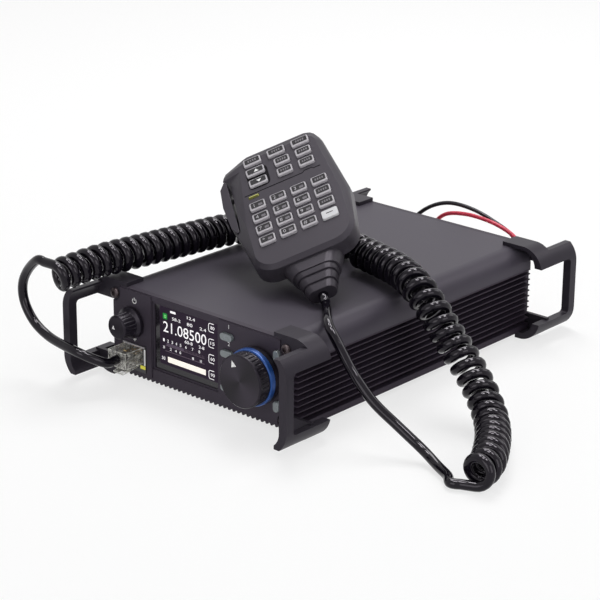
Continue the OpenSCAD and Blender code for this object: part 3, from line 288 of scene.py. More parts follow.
def spun_with_painted_sheen(name, colour, centre):
    """Spun metal: two painted highlight sectors that face each other, streaks of painted sheen in the base
    colour, and fine turning rings.
    """
    finish = Finish(name, {"Metallic": 0.7})
    moved = finish.node("ShaderNodeVectorMath", {"operation": "SUBTRACT"},
                        {0: finish.place(), 1: centre})
    x = finish.node("ShaderNodeSeparateXYZ", None, {0: moved}, "X")
    z = finish.node("ShaderNodeSeparateXYZ", None, {0: moved}, "Z")
    angle = finish.math("ARCTAN2", z, x)
    # Painted highlight: the sectors and the streaks lighten the base colour where a spun face would shine.
    streak = finish.noise_on(angle * 9.0, 6.0)
    painted_highlight_sector = finish.math("COSINE", angle * 2.0 + 1.7)
    turning = finish.math("SINE", finish.math("SQRT", x * x + z * z) * 9000.0)
    painted_sheen = 0.25 + painted_highlight_sector * 0.3 + streak * 0.45
    finish.feed("Base Color", finish.mix(painted_sheen, tint(colour, 0.3), tint(colour, 2.0)))
    finish.feed("Roughness", 0.3 + streak * 0.16)
    finish.bump(turning, 0.15, 0.00003)
    return finish.material


KNOB_FACE_PAINTED_SHEEN = spun_with_painted_sheen("knob_spun_face_painted_sheen", (0.021, 0.017, 0.024), (0.040, 0.0, 0.0273))
KNOB = grained("knob_black", (0.011, 0.009, 0.014), 0.3, 2600, 0.1, 0.15, SATIN)


def glow(name, colour, strength):
    """Something that gives a little light of its own, such as the screen and the lamps; the lamp window's rim
    uses it for a painted highlight.
    """
    finish = Finish(name, {"Base Color": tint(colour, 0.6), "Roughness": 0.4, "Emission Strength": strength,
                           "Specular IOR Level": 0.08})
    speck = finish.noise(finish.place(), 1500.0, 1.0)
    finish.feed("Emission Color", finish.mix(speck, tint(colour, 0.9), tint(colour, 1.0)))
    return finish.material


LIT_WHITE = glow("screen_white", (0.9, 0.88, 0.9), 0.75)
LIT_CREAM = glow("screen_cream", (0.93, 0.88, 0.8), 0.75)
LIT_DIM = glow("screen_dim", (0.2, 0.15, 0.2), 0.15)
LIT_GROUND = glow("screen_ground", (0.028, 0.017, 0.034), 0.3)
LIT_DUSK = glow("screen_dusk", (0.1, 0.075, 0.11), 0.5)
LIT_GREEN = glow("screen_green", (0.02, 0.3, 0.05), 0.5)
LIT_LEAF = glow("screen_leaf", (0.3, 0.8, 0.3), 0.5)
LAMP_GREEN = glow("lamp_window", (0.13, 0.13, 0.02), 0.1)
# Painted highlight: a glowing line along the top and right rim of the microphone's lamp window.
LAMP_RIM_HIGHLIGHT = glow("lamp_rim_painted_highlight", (0.62, 0.62, 0.2), 0.3)
LAMP_YELLOW = glow("socket_lamp", (0.8, 0.75, 0.1), 0.35)
GLASS = grained("screen_glass", (0.012, 0.01, 0.014), 0.12, 300, 0.01, 0.3)


def see_through(name, colour, least, swing):
    """Clear plastic: mostly seen through, pale and more opaque in the patches where the drift is high, which
    are painted glints.
    """
    finish = Finish(name, {"Specular IOR Level": 0.8})
    drift = finish.noise(finish.place(), 480.0, 2.0)
    finish.feed("Base Color", finish.mix(drift, tint(colour, 0.7), tint(colour, 1.2)))
    finish.feed("Roughness", 0.05 + drift * 0.06)
    finish.feed("Alpha", least + drift * drift * drift * swing)
    return finish.material


# The plug's pale patches are painted glints.
CLEAR = see_through("plug_clear_painted_glints", (0.7, 0.69, 0.64), 0.06, 1.6)
# Painted highlight: pale edge lines of the plug.
PLUG_EDGE_HIGHLIGHT = see_through("plug_edge", (0.85, 0.84, 0.78), 0.1, 3.0)
print("all finishes:", len(bpy.data.materials))

# %% [markdown]
# ## Cord routes
# A cord is one smooth line. The chosen points are joined by a Catmull-Rom curve, and the curly stretch winds
# round such a curve as a helix. Curly cords often change their winding hand somewhere, and this one does so
# behind the microphone: its angle runs one way to that place and back after it. In the bends the pitch
# opens a little, because the turns would meet on the inside.

# %% Smooth lines
def ease(points, steps):
    """Smooth line through points, with a number of steps from each to the next."""
    p = [np.array(q, float) for q in points]
    line = []
    for i in range(len(p) - 1):
        a, b, c, d = p[max(i - 1, 0)], p[i], p[i + 1], p[min(i + 2, len(p) - 1)]
        for k in range(steps):
            t = k / steps
            square = 2 * a - 5 * b + 4 * c - d
            cube = 3 * b - a - 3 * c + d
            line.append(0.5 * (2 * b + (c - a) * t + square * t**2 + cube * t**3))
    return np.array(line + [p[-1]])


def reach(line):
    """Distance along a line at each of its points."""
    return np.concatenate([[0], np.cumsum(np.linalg.norm(np.diff(line, axis=0), axis=1))])


def unit(v):
    return v / np.linalg.norm(v)


# %% Route of the microphone cord
CORD_D, CURL_D, TURNS = 4.8, 17.0, 29
CURL_R = (CURL_D - CORD_D) / 2
CURL_POINTS = 1405
BEND = 6.0
CURL_AXIS = [
    (-66.5, -122, 56.5), (-62.5, -98, 59), (-59, -74, 59), (-57, -46, 58), (-55, -20, 57),
    (-47, 2, 57), (-33, 14, 57), (-15, 15, 57), (2, 10, 57), (18, 4, 57), (34, 0, 57),
    (52, -6, 57), (68, -13, 54.5), (81, -17, 47), (91, -18, 37.5), (101, -19, 28.5), (112, -22, 19.5),
    (124, -29, 11.5), (134.5, -40, 8.8), (145, -55, 8.8), (153.5, -70, 8.8), (156.5, -81.5, 8.8)]
PLUG_TAIL = [
    (-46.5, -118, 18.5), (-53, -122, 21.5), (-65, -121, 22), (-76, -119.5, 23), (-85.5, -119, 27),
    (-91.5, -119, 33.5), (-94, -119, 40.5), (-92.5, -119.5, 48), (-87, -120.5, 55.5)]
SHELL_TAIL = [
    (49.5, -57.8, 51), (61.3, -70.4, 50.8), (70, -73.5, 44), (78, -75, 36), (85, -76, 30), (94, -75.5, 22),
    (107, -73, 13), (120, -72.5, 6), (131, -76, 3), (140.5, -81, 2.7)]
MIC_TURN = Euler([math.radians(a) for a in (28, -24, 43)]).to_matrix().to_4x4()
MIC_AT = (2.5, -28.5, 82.8)
MIC_M = Matrix.Translation([v * MM for v in MIC_AT]) @ MIC_TURN
axis_line = ease(CURL_AXIS, 8)
axis_run = reach(axis_line)
axis_len = axis_run[-1]


def axis_at(s):
    return np.array([np.interp(s, axis_run, axis_line[:, k]) for k in range(3)])


def axis_dir(s):
    return unit(axis_at(min(s + 1, axis_len)) - axis_at(max(s - 1, 0)))


def headings(line):
    ends = np.concatenate([line[:1], line, line[-1:]])
    along = ends[2:] - ends[:-2]
    return along / np.linalg.norm(along, axis=1)[:, None]


axis_head = headings(axis_line)
winding = [0.0]
for i in range(1, len(axis_line)):
    before, after = max(i - 6, 0), min(i + 6, len(axis_line) - 1)
    bow = np.linalg.norm(axis_head[after] - axis_head[before]) / (axis_run[after] - axis_run[before])
    tight = 1 - CURL_R * bow
    winding.append(winding[-1] + tight * (axis_run[i] - axis_run[i - 1]))
wind_len = winding[-1]
wind_turn = wind_len * TURNS / (2 * TURNS + 0.5)
rate = 2 * math.pi * CURL_R * (2 * TURNS + 0.5) / wind_len
bend_end = BEND * rate / math.sqrt(1 + rate * rate)


def wound(x):
    """How far the winding has gone at a distance from its reversal, which is a round hairpin bend."""
    bent = (BEND - math.sqrt(BEND * BEND - min(x, bend_end) ** 2)) / rate
    return bent + max(x - bend_end, 0)


def curl_angle(s):
    w = np.interp(s, axis_run, winding) - wind_turn
    if w < 0:
        return 90 - 360 * TURNS * (1 - wound(-w) / wound(wind_turn))
    return 90 - 360 * TURNS + 360 * (TURNS + 0.5) * wound(w) / wound(wind_len - wind_turn)


def curl_point(s):
    t = axis_dir(s)
    n = unit(np.cross(t, (0, 0, 1)))
    a = math.radians(curl_angle(s))
    return axis_at(s) + CURL_R * (math.cos(a) * n + math.sin(a) * np.cross(n, t))


def curl_across(s):
    """Way in which the cord leaves the curl: across the axis, and a little along it."""
    return unit(6 * unit(np.cross(axis_dir(s), (0, 0, 1))) + axis_dir(s))


def tail(start, out, way, end, across):
    """Stretch that leaves start along out and comes to end along across."""
    near, far = 0.4 * CORD_D, 1.4 * CORD_D
    bends = [start + near * out, start + far * out] + way + [end - far * across, end - near * across]
    return np.concatenate([[start], ease(bends, 6), [end]])


curl = [curl_point(s) for s in np.linspace(0, axis_len, CURL_POINTS)]
curl_first = curl[0] - CORD_D * curl_across(0)
curl_last = curl[-1] + CORD_D * curl_across(axis_len)
relief_end = np.array(Matrix.Translation(MIC_AT) @ MIC_TURN @ Vector((0, -49, -10.5)))
relief_out = np.array(MIC_TURN.to_3x3() @ Vector((0, -1, 0)))
shell_tail = tail(relief_end, relief_out, SHELL_TAIL, curl_last, -curl_across(axis_len))
plug_end = np.array((-43.0, -105.3, 15.4))
plug_tail = tail(plug_end, np.array((0, -1.0, 0)), PLUG_TAIL, curl_first, curl_across(0))
mic_line = np.concatenate([shell_tail, np.array(curl[::-1]), plug_tail[::-1]]) * MM
print("microphone cord, m:", round(reach(mic_line)[-1], 3))

# %% Routes of the power leads
LEAD_D, COIL_R, LOOPS, COIL_STEP = 2.2, 21.0, 3, 3.1
LOOP_POINTS = 24
RED_COIL, BLACK_COIL = (3, 121), (-41, 123)
EXIT_Y, EXIT_Z = 101, 28
RED_ARCH = [
    (42, 105.5, 37), (38, 106, 43.5), (28, 106, 47.5), (15, 106, 49.3), (3, 106, 49),
    (-8, 106, 46.3), (-16, 107.5, 39), (-18.5, 109, 27), (-19, 110.5, 14), (-18, 113, 6)]
BLACK_ARCH = [
    (37.5, 109, 35), (33, 111, 42), (20, 111, 47.5), (6, 111, 51), (-9, 111, 51.2),
    (-22, 111, 46.5), (-34, 111.5, 37), (-46, 112.5, 22), (-56, 114, 10), (-62, 117, 4.5)]


def coil_line(centre):
    """Flat coil of two layers: it winds inward in the lower one, climbs and winds outward again."""
    line = []
    for i in range(LOOP_POINTS * 2 * LOOPS + LOOP_POINTS // 2 + 1):
        t = i / LOOP_POINTS
        climb = min(max((t - LOOPS) / 0.5, 0), 1)
        r = COIL_R - LEAD_D / 2 - COIL_STEP * (min(t, LOOPS) - max(t - LOOPS - 0.5, 0))
        a = math.radians(180 - 360 * t)
        line.append((centre[0] + r * math.cos(a), centre[1] + r * math.sin(a),
                     LEAD_D / 2 + 0.1 + COIL_STEP * climb))
    line = np.array(line)
    first = line[0] - LEAD_D * unit(line[1] - line[0])
    last = line[-1] + LEAD_D * unit(line[-1] - line[-2])
    return np.concatenate([[first], line, [last]])


def lead_line(x, arch, coil):
    start = [(x, EXIT_Y, EXIT_Z), (x, EXIT_Y + LEAD_D, EXIT_Z)]
    end = [coil[0] - LEAD_D * unit(coil[1] - coil[0]), coil[0]]
    return np.concatenate([ease(start + arch + end, 6), ease(coil, 3)[1:]]) * MM


red_line = lead_line(43, RED_ARCH, coil_line(RED_COIL))
black_line = lead_line(37, BLACK_ARCH, coil_line(BLACK_COIL))
print("leads, m:", round(reach(red_line)[-1], 3), round(reach(black_line)[-1], 3))

# %% [markdown]
# ## Cords as tubes
# A tube that follows a line is a job for Geometry Nodes: the line becomes a curve, a circle is swept along
# it, and the distance along the line is kept as an attribute, which the jacket's finish reads.

# %% Node tree of a cord
def add_nodes(tree, *kinds):
    return [tree.nodes.new("GeometryNode" + kind) for kind in kinds]


def wire_up(tree, links):
    for a, out, b, into in links:
        tree.links.new(a.outputs[out], b.inputs[into])


def new_tree(name, sockets):
    tree = bpy.data.node_groups.new(name, "GeometryNodeTree")
    tree.interface.new_socket("Geometry", in_out="INPUT", socket_type="NodeSocketGeometry")
    for label, kind in sockets:
        tree.interface.new_socket(label, in_out="INPUT", socket_type="NodeSocket" + kind)
    tree.interface.new_socket("Geometry", in_out="OUTPUT", socket_type="NodeSocketGeometry")
    return tree, tree.nodes.new("NodeGroupInput"), tree.nodes.new("NodeGroupOutput")


def grow(name, mesh, tree, values):
    """Runs a tree on a mesh and keeps the outcome as a plain mesh."""
    piece = into_scene(name, mesh)
    modifier = piece.modifiers.new("grow", "NODES")
    modifier.node_group = tree
    for item in tree.interface.items_tree:
        if item.in_out == "INPUT" and item.name in values:
            modifier[item.identifier] = values[item.name]
    keep_shape(piece)
    return piece


cord_tree, given, grown = new_tree("cord_tube", [
    ("Radius", "Float"), ("Sides", "Int"), ("Jacket", "Material")])
to_curve, spline, keep, ring, sweep, shade, real, paint = add_nodes(
    cord_tree, "MeshToCurve", "SplineParameter", "StoreNamedAttribute", "CurvePrimitiveCircle",
    "CurveToMesh", "SetShadeSmooth", "RealizeInstances", "SetMaterial")
keep.data_type = "FLOAT"
keep.domain = "POINT"
keep.inputs["Name"].default_value = "along"
sweep.inputs["Fill Caps"].default_value = True
wire_up(cord_tree, [
    (given, "Geometry", to_curve, "Mesh"), (to_curve, "Curve", keep, "Geometry"),
    (spline, "Length", keep, "Value"), (keep, "Geometry", sweep, "Curve"),
    (given, "Radius", ring, "Radius"), (given, "Sides", ring, "Resolution"),
    (ring, "Curve", sweep, "Profile Curve"), (sweep, "Mesh", shade, "Geometry"),
    (shade, "Geometry", real, "Geometry"), (real, "Geometry", paint, "Geometry"),
    (given, "Jacket", paint, "Material"), (paint, "Geometry", grown, "Geometry")])


def lay_cord(name, line, diameter, sides, finish):
    mesh = bpy.data.meshes.new(name)
    mesh.from_pydata([tuple(p) for p in line], [(i, i + 1) for i in range(len(line) - 1)], [])
    return grow(name, mesh, cord_tree, {"Radius": diameter / 2, "Sides": sides, "Jacket": finish})


# %% Lay the cords
mic_cord = lay_cord("mic_cord", mic_line, CORD_D * MM, 14, CORD)
settle(mic_cord, "radio")
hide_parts("mic_shell_tail", "mic_cord_curl", "mic_plug_tail")
print("microphone cord triangles:", 2 * len(mic_cord.data.polygons))

# %% [markdown]
# ## Power leads
# The two leads come out of the rear, arch over and are put away in neat coils behind the radio. Their ends
# are stripped: three tinned strands are twisted together there. A soft band holds each coil, and it is a
# rounded loop round the coil's section, swept a few millimetres along the turns.

# %% Stripped ends and coil bands
STRANDS, STRAND_D, BARE = 3, 0.72, 6.0


def stripped_end(name, line):
    """Twisted strands that go on where a lead's jacket ends."""
    end = line[-1]
    on = unit(line[-1] - line[-2])
    side = unit(np.cross(on, (0, 0, 1)))
    up = np.cross(side, on)
    strands = []
    for k in range(STRANDS):
        twist = []
        for t in np.linspace(0, 1, 19):
            a = 2 * math.pi * (k / STRANDS + 1.3 * t)
            turned = math.cos(a) * side + math.sin(a) * up
            twist.append(end + (BARE * t - 1) * MM * on + 0.42 * MM * turned)
        strand = lay_cord(name, twist, STRAND_D * MM, 8, TINNED)
        strands.append(strand.data)
        bpy.data.objects.remove(strand)
    return gather(name, strands)


def coil_band(name, centre, angle):
    """Loop round the section of a coil, from its inner to its outer turn."""
    inner, outer, top, low, wide = 9.4, 21.3, 5.6, 0.06, 3.4
    bend, skin_bend = 0.9, 1.4
    corners = ((outer - bend, top - bend, bend, skin_bend), (inner + bend, top - bend, bend, skin_bend),
               (inner + bend, low, 0.0, 0.05), (outer - bend, low, 0.0, 0.05))
    section, skin = [], []
    for corner, (r, z, rise, skin_rise) in enumerate(corners):
        for k in range(5):
            a = math.radians(90 * corner + 22.5 * k)
            section.append((r + bend * math.cos(a), z + rise * math.sin(a)))
            skin.append((r + skin_bend * math.cos(a), max(z + skin_rise * math.sin(a), 0.01)))
    along = Vector((-math.sin(angle), math.cos(angle), 0))
    out = Vector((math.cos(angle), math.sin(angle), 0))
    shape = bmesh.new()
    rims = []
    for ring_of, side in ((skin, -1), (skin, 1), (section, 1), (section, -1)):
        rims.append([shape.verts.new((Vector((*centre, z)) + out * r + along * side * wide / 2) * MM)
                     for r, z in ring_of])
    for a, b in ((0, 1), (1, 2), (2, 3), (3, 0)):
        for k in range(len(skin)):
            m = (k + 1) % len(skin)
            shape.faces.new((rims[a][k], rims[a][m], rims[b][m], rims[b][k]))
    bmesh.ops.recalc_face_normals(shape, faces=shape.faces)
    return into_scene(name, from_shape(name, shape))


# %% Lay the leads
for colour, line, finish, centre, angle in (("red", red_line, LEAD_RED, RED_COIL, 0.8),
                                            ("black", black_line, LEAD_BLACK, BLACK_COIL, 2.3)):
    lead = lay_cord("power_lead_%s_cord" % colour, line, LEAD_D * MM, 12, finish)
    settle(lead, "radio")
    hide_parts("power_lead_" + colour, "power_coil_" + colour)
    bare = settle(stripped_end("bare_end_" + colour, line), "radio", smooth=40)
    band = settle(coil_band("coil_band_" + colour, centre, angle), "radio", TIE, 40)
    print(lead.name, "triangles:", 2 * len(lead.data.polygons))

# %% [markdown]
# ## Rounded edges
# Real edges are never knife sharp: coating and moulding round them, and the round catches the light. The
# solids are copied, their loose triangles are merged into clean faces, and a Bevel modifier rounds every edge
# that turns by more than a set angle. The copy then stands for the solid.

# %% Rounded copies of the solids
TOP_ARCH, SIDE_SWELL, WALL, SHOULDER_OUT, SHOULDER_UP = 3.2, 1.2, 0.6, 4.2, 0.8
MERGE = 2e-6


def ramp(x):
    return min(max(x, 0), 1)


def fuller(points):
    """Lets the microphone's top arch, its right side swell and a shoulder stand over the talk bar."""
    back = MIC_M.inverted()
    for vert in points:
        u, v, n = (back @ vert.co) / MM
        outer = -2.1 < n < -1 or n < -4
        top = outer * ramp((v - 43.2) / 1.5) * TOP_ARCH * max(1 - (u / 26) ** 4, 0)
        side = ramp((u - 22) / 4) * SIDE_SWELL * max(1 - ((v - 18) / 24) ** 2, 0)
        wall = WALL * (abs(u + 27.3) < 0.15 and 3 < v < 38.5 and n < -2.9)
        shoulder = ramp((v - 39.5) / 2) * ramp((-20 - u) / 5) * (n < -4)
        moved = Vector((u + side - wall - SHOULDER_OUT * shoulder, v + top + SHOULDER_UP * shoulder, n))
        vert.co = MIC_M @ (moved * MM)


def even_out(piece, degrees):
    """Smooth shading in which broad faces stay flat and only the rounds blend."""
    crease(piece, degrees)
    weigh = piece.modifiers.new("weigh", "WEIGHTED_NORMAL")
    weigh.keep_sharp = True
    keep_shape(piece)


def rounded_copy(node, body, finish, width, segments=2):
    """Copy of a solid with rounded edges, which stands for the solid."""
    shape = bmesh.new()
    shape.from_mesh(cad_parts[node].data)
    if node in ("mic_front_shell", "mic_rear_shell"):
        fuller(shape.verts)
    bmesh.ops.remove_doubles(shape, verts=shape.verts, dist=MERGE)
    bmesh.ops.dissolve_limit(shape, angle_limit=math.radians(0.6), verts=shape.verts, edges=shape.edges)
    piece = into_scene(node + "_rounded", from_shape(node + "_rounded", shape))
    bevel = piece.modifiers.new("round", "BEVEL")
    bevel.width = width * MM
    bevel.segments = segments
    bevel.limit_method = "ANGLE"
    bevel.angle_limit = math.radians(32)
    bevel.use_clamp_overlap = True
    keep_shape(piece)
    even_out(piece, 38)
    settle(piece, body, finish)
    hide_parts(node)


for node, finish, width, slot in (
        ("upper_case", CASE, 0.4, "case_paint"), ("front_handles", GUARD, 0.6, "handle_paint"),
        ("rear_handles", GUARD, 0.6, "handle_paint"), ("front_panel", PANEL, 0.15, "panel"),
        ("rear_panel", PANEL, 0.15, "panel"), ("mic_front_shell", MIC, 0.2, "mic_plastic"),
        ("mic_rear_shell", MIC, 0.6, "mic_plastic"), ("mic_strain_relief", MIC_DARK, 0.3, "cord_jacket"),
        ("mic_socket", RESIN, 0.15, "socket_resin"), ("power_inlet", SHELL_BLACK, 0.3, "black_plastic"),
        ("antenna_socket", NICKEL, 0.2, "socket_nickel")):
    rounded_copy(node, "radio", finish, width)
for key in ["soft_key_%d" % k for k in range(1, 5)] + ["side_key_upper", "side_key_lower"]:
    rounded_copy(key, key, SOFT_KEY, 0.5, 3)
for k in range(1, 26):
    key = "mic_key_%d" % k
    if k == 16:
        rounded_copy(key, key, PAD_WHITE, 0.3)
    else:
        rounded_copy(key, key, PAD, 0.3)
rounded_copy("mic_talk_bar", "mic_talk_bar", MIC_DARK, 0.8, 3)
rounded_copy("volume_knob", "volume_knob", KNOB, 0.15)
rounded_copy("tuning_knob", "tuning_knob", KNOB, 0.25)
rounded_copy("tuning_ring", "tuning_knob", RING, 0.2)

# %% Finishes straight on the other solids
for node, finish in (("lower_case", FINS), ("display_module", GLASS), ("front_board", BOARD),
                     ("volume_control", STEEL), ("tuning_encoder", STEEL), ("mic_plug", CLEAR)):
    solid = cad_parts[node]
    solid.data.materials.clear()
    solid.data.materials.append(finish)

# %% [markdown]
# ## Marks and figures
# Printed marks are thin raised meshes. A figure is a text curve made into a mesh, and a bar is a flat rounded
# plate. `on_front` sets a mark on the front of the radio, and `on_mic` on the microphone's face.

# %% Makers of flat marks
MARK_T = 0.03


def figure(words, height, material):
    curve = bpy.data.curves.new("figure", "FONT")
    curve.body = words
    curve.size = height * MM
    curve.align_x = "CENTER"
    curve.align_y = "CENTER"
    curve.extrude = MARK_T * MM
    curve.resolution_u = 3
    held = into_scene("figure", curve)
    mesh = plain_mesh(held)
    bpy.data.objects.remove(held)
    mesh.materials.clear()
    mesh.materials.append(material)
    return mesh


def rims_of(shape, points, thick):
    """Upper and lower rim of a flat mark."""
    return [[shape.verts.new((x * MM, y * MM, z * MM)) for x, y in points] for z in (thick, -thick)]


def join_rims(shape, first, second):
    n = len(first)
    for i in range(n):
        j = (i + 1) % n
        shape.faces.new((first[i], first[j], second[j], second[i]))


def outline(points, material, thick=MARK_T):
    """Flat plate with any convex outline."""
    shape = bmesh.new()
    top, low = rims_of(shape, points, thick)
    join_rims(shape, low, top)
    shape.faces.new(top)
    shape.faces.new(low[::-1])
    return from_shape("outline", shape, material)


def round_corners(w, h, r):
    points = []
    for cx, cy, start in ((1, 1, 0), (-1, 1, 90), (-1, -1, 180), (1, -1, 270)):
        for k in range(5):
            a = math.radians(start + k * 22.5)
            points.append((cx * (w / 2 - r) + r * math.cos(a), cy * (h / 2 - r) + r * math.sin(a)))
    return points


def plate(w, h, r, material, thick=MARK_T):
    """Flat plate with round corners."""
    return outline(round_corners(w, h, r), material, thick)


def plate_frame(w, h, r, material, rim):
    """Flat frame with round corners."""
    shape = bmesh.new()
    top, low = rims_of(shape, round_corners(w, h, r), MARK_T)
    inner = round_corners(w - 2 * rim, h - 2 * rim, max(r - rim, 0.05))
    inner_top, inner_low = rims_of(shape, inner, MARK_T)
    for first, second in ((low, top), (top, inner_top), (inner_low, low), (inner_top, inner_low)):
        join_rims(shape, first, second)
    return from_shape("frame", shape, material)


def ribbon(points, width, material, thick=MARK_T):
    """Flat band of even width along a line of points."""
    line = [np.array(q, float) for q in points]
    shape = bmesh.new()
    rows = []
    for i, q in enumerate(line):
        on = unit(line[min(i + 1, len(line) - 1)] - line[max(i - 1, 0)])
        side = np.array((-on[1], on[0])) * width / 2
        rows.append([shape.verts.new(((q[0] + e * side[0]) * MM, (q[1] + e * side[1]) * MM, z * MM))
                     for e, z in ((1, thick), (1, -thick), (-1, -thick), (-1, thick))])
    for a, b in zip(rows, rows[1:]):
        for k in range(4):
            shape.faces.new((a[k], a[(k + 1) % 4], b[(k + 1) % 4], b[k]))
    shape.faces.new(rows[0][::-1])
    shape.faces.new(rows[-1])
    bmesh.ops.recalc_face_normals(shape, faces=shape.faces)
    return from_shape("ribbon", shape, material)


def fit_box(mesh, x0, x1, y0, y1):
    """Stretches a flat mark to fill a box, in millimetres."""
    at = np.array([v.co[:] for v in mesh.vertices])
    lo, hi = at.min(axis=0), at.max(axis=0)
    scale = ((x1 - x0) * MM / (hi[0] - lo[0]), (y1 - y0) * MM / (hi[1] - lo[1]), 1, 1)
    middle = Vector(((lo[0] + hi[0]) / 2, (lo[1] + hi[1]) / 2, 0))
    target = Matrix.Translation(((x0 + x1) / 2 * MM, (y0 + y1) / 2 * MM, 0))
    mesh.transform(target @ Matrix.Diagonal(scale) @ Matrix.Translation(-middle))
    return mesh


FACE_FRONT = Matrix.Rotation(math.radians(90), 4, "X")


def on_front(mesh, x, y, z):
    mesh.transform(Matrix.Translation((x * MM, y * MM, z * MM)) @ FACE_FRONT)
    return mesh


def on_mic(mesh, u, v, n):
    mesh.transform(MIC_M @ Matrix.Translation((u * MM, v * MM, n * MM)))
    return mesh


# %% [markdown]
# ## Rows of ticks
# Scales repeat one small tick at an even step, so Geometry Nodes set them out: a mesh line gives the places,
# a box is put on each, and the whole row is realised.

# %% Node tree of a row of ticks
tick_tree, given, grown = new_tree("tick_row", [
    ("Count", "Int"), ("Step", "Vector"), ("Start", "Vector"), ("Tick", "Vector"), ("Ink", "Material")])
row, tick, put, real, paint = add_nodes(
    tick_tree, "MeshLine", "MeshCube", "InstanceOnPoints", "RealizeInstances", "SetMaterial")
wire_up(tick_tree, [
    (given, "Count", row, "Count"), (given, "Step", row, "Offset"), (given, "Start", row, "Start Location"),
    (given, "Tick", tick, "Size"), (row, "Mesh", put, "Points"), (tick, "Mesh", put, "Instance"),
    (put, "Instances", real, "Geometry"), (real, "Geometry", paint, "Geometry"),
    (given, "Ink", paint, "Material"), (paint, "Geometry", grown, "Geometry")])


def tick_row(name, count, start, step, tick, ink):
    """Mesh of a row of equal boxes, with its measures in millimetres."""
    piece = grow(name, bpy.data.meshes.new(name), tick_tree, {
        "Count": count, "Start": [v * MM for v in start], "Step": [v * MM for v in step],
        "Tick": [v * MM for v in tick], "Ink": ink})
    mesh = piece.data
    bpy.data.objects.remove(piece)
    return mesh


# %% [markdown]
# ## Screen
# The colour screen shows a tuning readout: large figures, a small status row, two scales with bars, a pale
# strip at the foot and four key tags at the right edge. Everything here is plain figures and bars.

# %% Screen picture
SCREEN_Y = -91.85


def on_screen(mesh, x=0.0, z=0.0, lift=0.0):
    return on_front(mesh, x, SCREEN_Y - lift, z)


def reading(words, x, z, wide, tall):
    mark = fit_box(figure(words, 4, LIT_WHITE), x - wide / 2, x + wide / 2, z - tall / 2, z + tall / 2)
    return on_screen(mark)


picture = [
    on_screen(plate(38.2, 29.6, 0.2, LIT_GROUND, 0.02), -7.7, 28.9, -0.03),
    reading("21.08500", -10.2, 33.7, 28.6, 5.4),
    on_screen(plate(2.8, 2.9, 0.3, LIT_GREEN), -23.2, 39.0),
    on_screen(plate_frame(1.3, 1.5, 0.2, LIT_LEAF, 0.28), -23.1, 38.9, 0.03),
    on_screen(plate(3.6, 1.1, 0.2, LIT_WHITE), -17.9, 42.1),
    reading("12.4", -5.9, 42.0, 5.2, 1.5),
    reading("58-2", -15.7, 38.9, 5.6, 1.5),
    reading("80", -6.8, 38.7, 3.6, 1.7),
    reading("2.4", 1.9, 38.6, 4.2, 1.5),
    reading("60-8", -7.6, 29.4, 5.2, 1.6),
    reading("2-8", 0.9, 29.2, 3.6, 1.5),
    reading("50", -24.6, 17.2, 2.2, 1.7),
    on_screen(plate(11.6, 1.3, 0.1, LIT_DUSK), -16.6, 24.9),
    on_screen(plate(26.0, 0.22, 0.05, LIT_DIM), -10.2, 24.1, 0.02),
    on_screen(plate(26.0, 0.3, 0.05, LIT_DIM), -10.2, 21.3),
    on_screen(plate(25.2, 2.8, 0.15, LIT_CREAM), -9.0, 17.2)]
for k, x in enumerate((-24.2, -21.4, -18.6, -15.8, -13.0, -9.4, -5.0, -0.6)):
    picture.append(reading(str(k + 1), x, 26.7, 1.0, 1.5))
for k, x in enumerate((-24.2, -19.6, -16.2, -13.2, -4.8, 0.4)):
    picture.append(reading(str(k * 2), x, 22.9 - 0.8 * (k > 3), 1.1, 1.4))
BRACKET = [(3.4, 2.1), (0.9, 2.1), (0.35, 1.9), (0.05, 1.4), (0, 0),
           (0.05, -1.4), (0.35, -1.9), (0.9, -2.1), (3.4, -2.1)]
for k, z in enumerate((40.9, 33.1, 25.2, 17.1)):
    picture.append(on_screen(ribbon(BRACKET, 0.34, LIT_WHITE), 5.6, z))
    picture.append(reading(("80", "15", "60", "90")[k], 8.1, z, 2.6, 1.6))
SCALE_TICK = (0.22, 0.06, 1.1)
picture.append(tick_row("bar_ticks", 14, (-10.0, SCREEN_Y, 24.9), (0.95, 0, 0), SCALE_TICK, LIT_DIM))
screen_picture = gather("screen_picture", picture)
settle(screen_picture, "radio")
print("screen marks:", len(picture))

# %% [markdown]
# ## Marks on the panel and the knobs
# The soft keys are numbered, the power mark and the microphone mark are plain signs, and both knobs carry a
# white pointer.

# %% Panel marks
FACE_Y = -93.52
SOFT_Z = [40.2 - k * 8.533 for k in range(4)]
marks = [on_front(figure(str(k + 1), 2.9, INK), 20.2, FACE_Y, z + 4.9) for k, z in enumerate(SOFT_Z)]
POWER_ARC = [(1.25 * math.sin(a), 1.25 * math.cos(a)) for a in np.linspace(0.7, 2 * math.pi - 0.7, 17)]
for line in (POWER_ARC, [(0, 0.2), (0, 1.7)]):
    marks.append(on_front(ribbon(line, 0.4, INK), -42.3, FACE_Y, 42.4))
HOLDER_ARC = [(1.05 * math.sin(a), -1.05 * math.cos(a)) for a in np.linspace(-1.5, 1.5, 11)]
marks.append(on_front(plate(1.1, 2.0, 0.54, INK), -42.6, FACE_Y, 23.4))
for line in (HOLDER_ARC, [(0, -1.0), (0, -1.7)]):
    marks.append(on_front(ribbon(line, 0.3, INK), -42.6, FACE_Y, 23.2))
panel_marks = gather("panel_marks", marks)
settle(panel_marks, "radio")
print("panel marks:", len(marks))

# %% Lamp and pale rim of the socket
SOCKET_Y = -93.92
lights = [on_front(plate(3.4, 1.8, 0.3, LAMP_YELLOW, 0.08), -36.8, SOCKET_Y, 9.4),
          on_front(plate(1.0, 8.4, 0.2, INK, 0.05), -35.5, SOCKET_Y, 14.8),
          on_front(plate(14.8, 0.7, 0.2, PAD, 0.05), -43.0, SOCKET_Y, 19.7)]
socket_lamp = gather("socket_lamp", lights)
settle(socket_lamp, "radio")

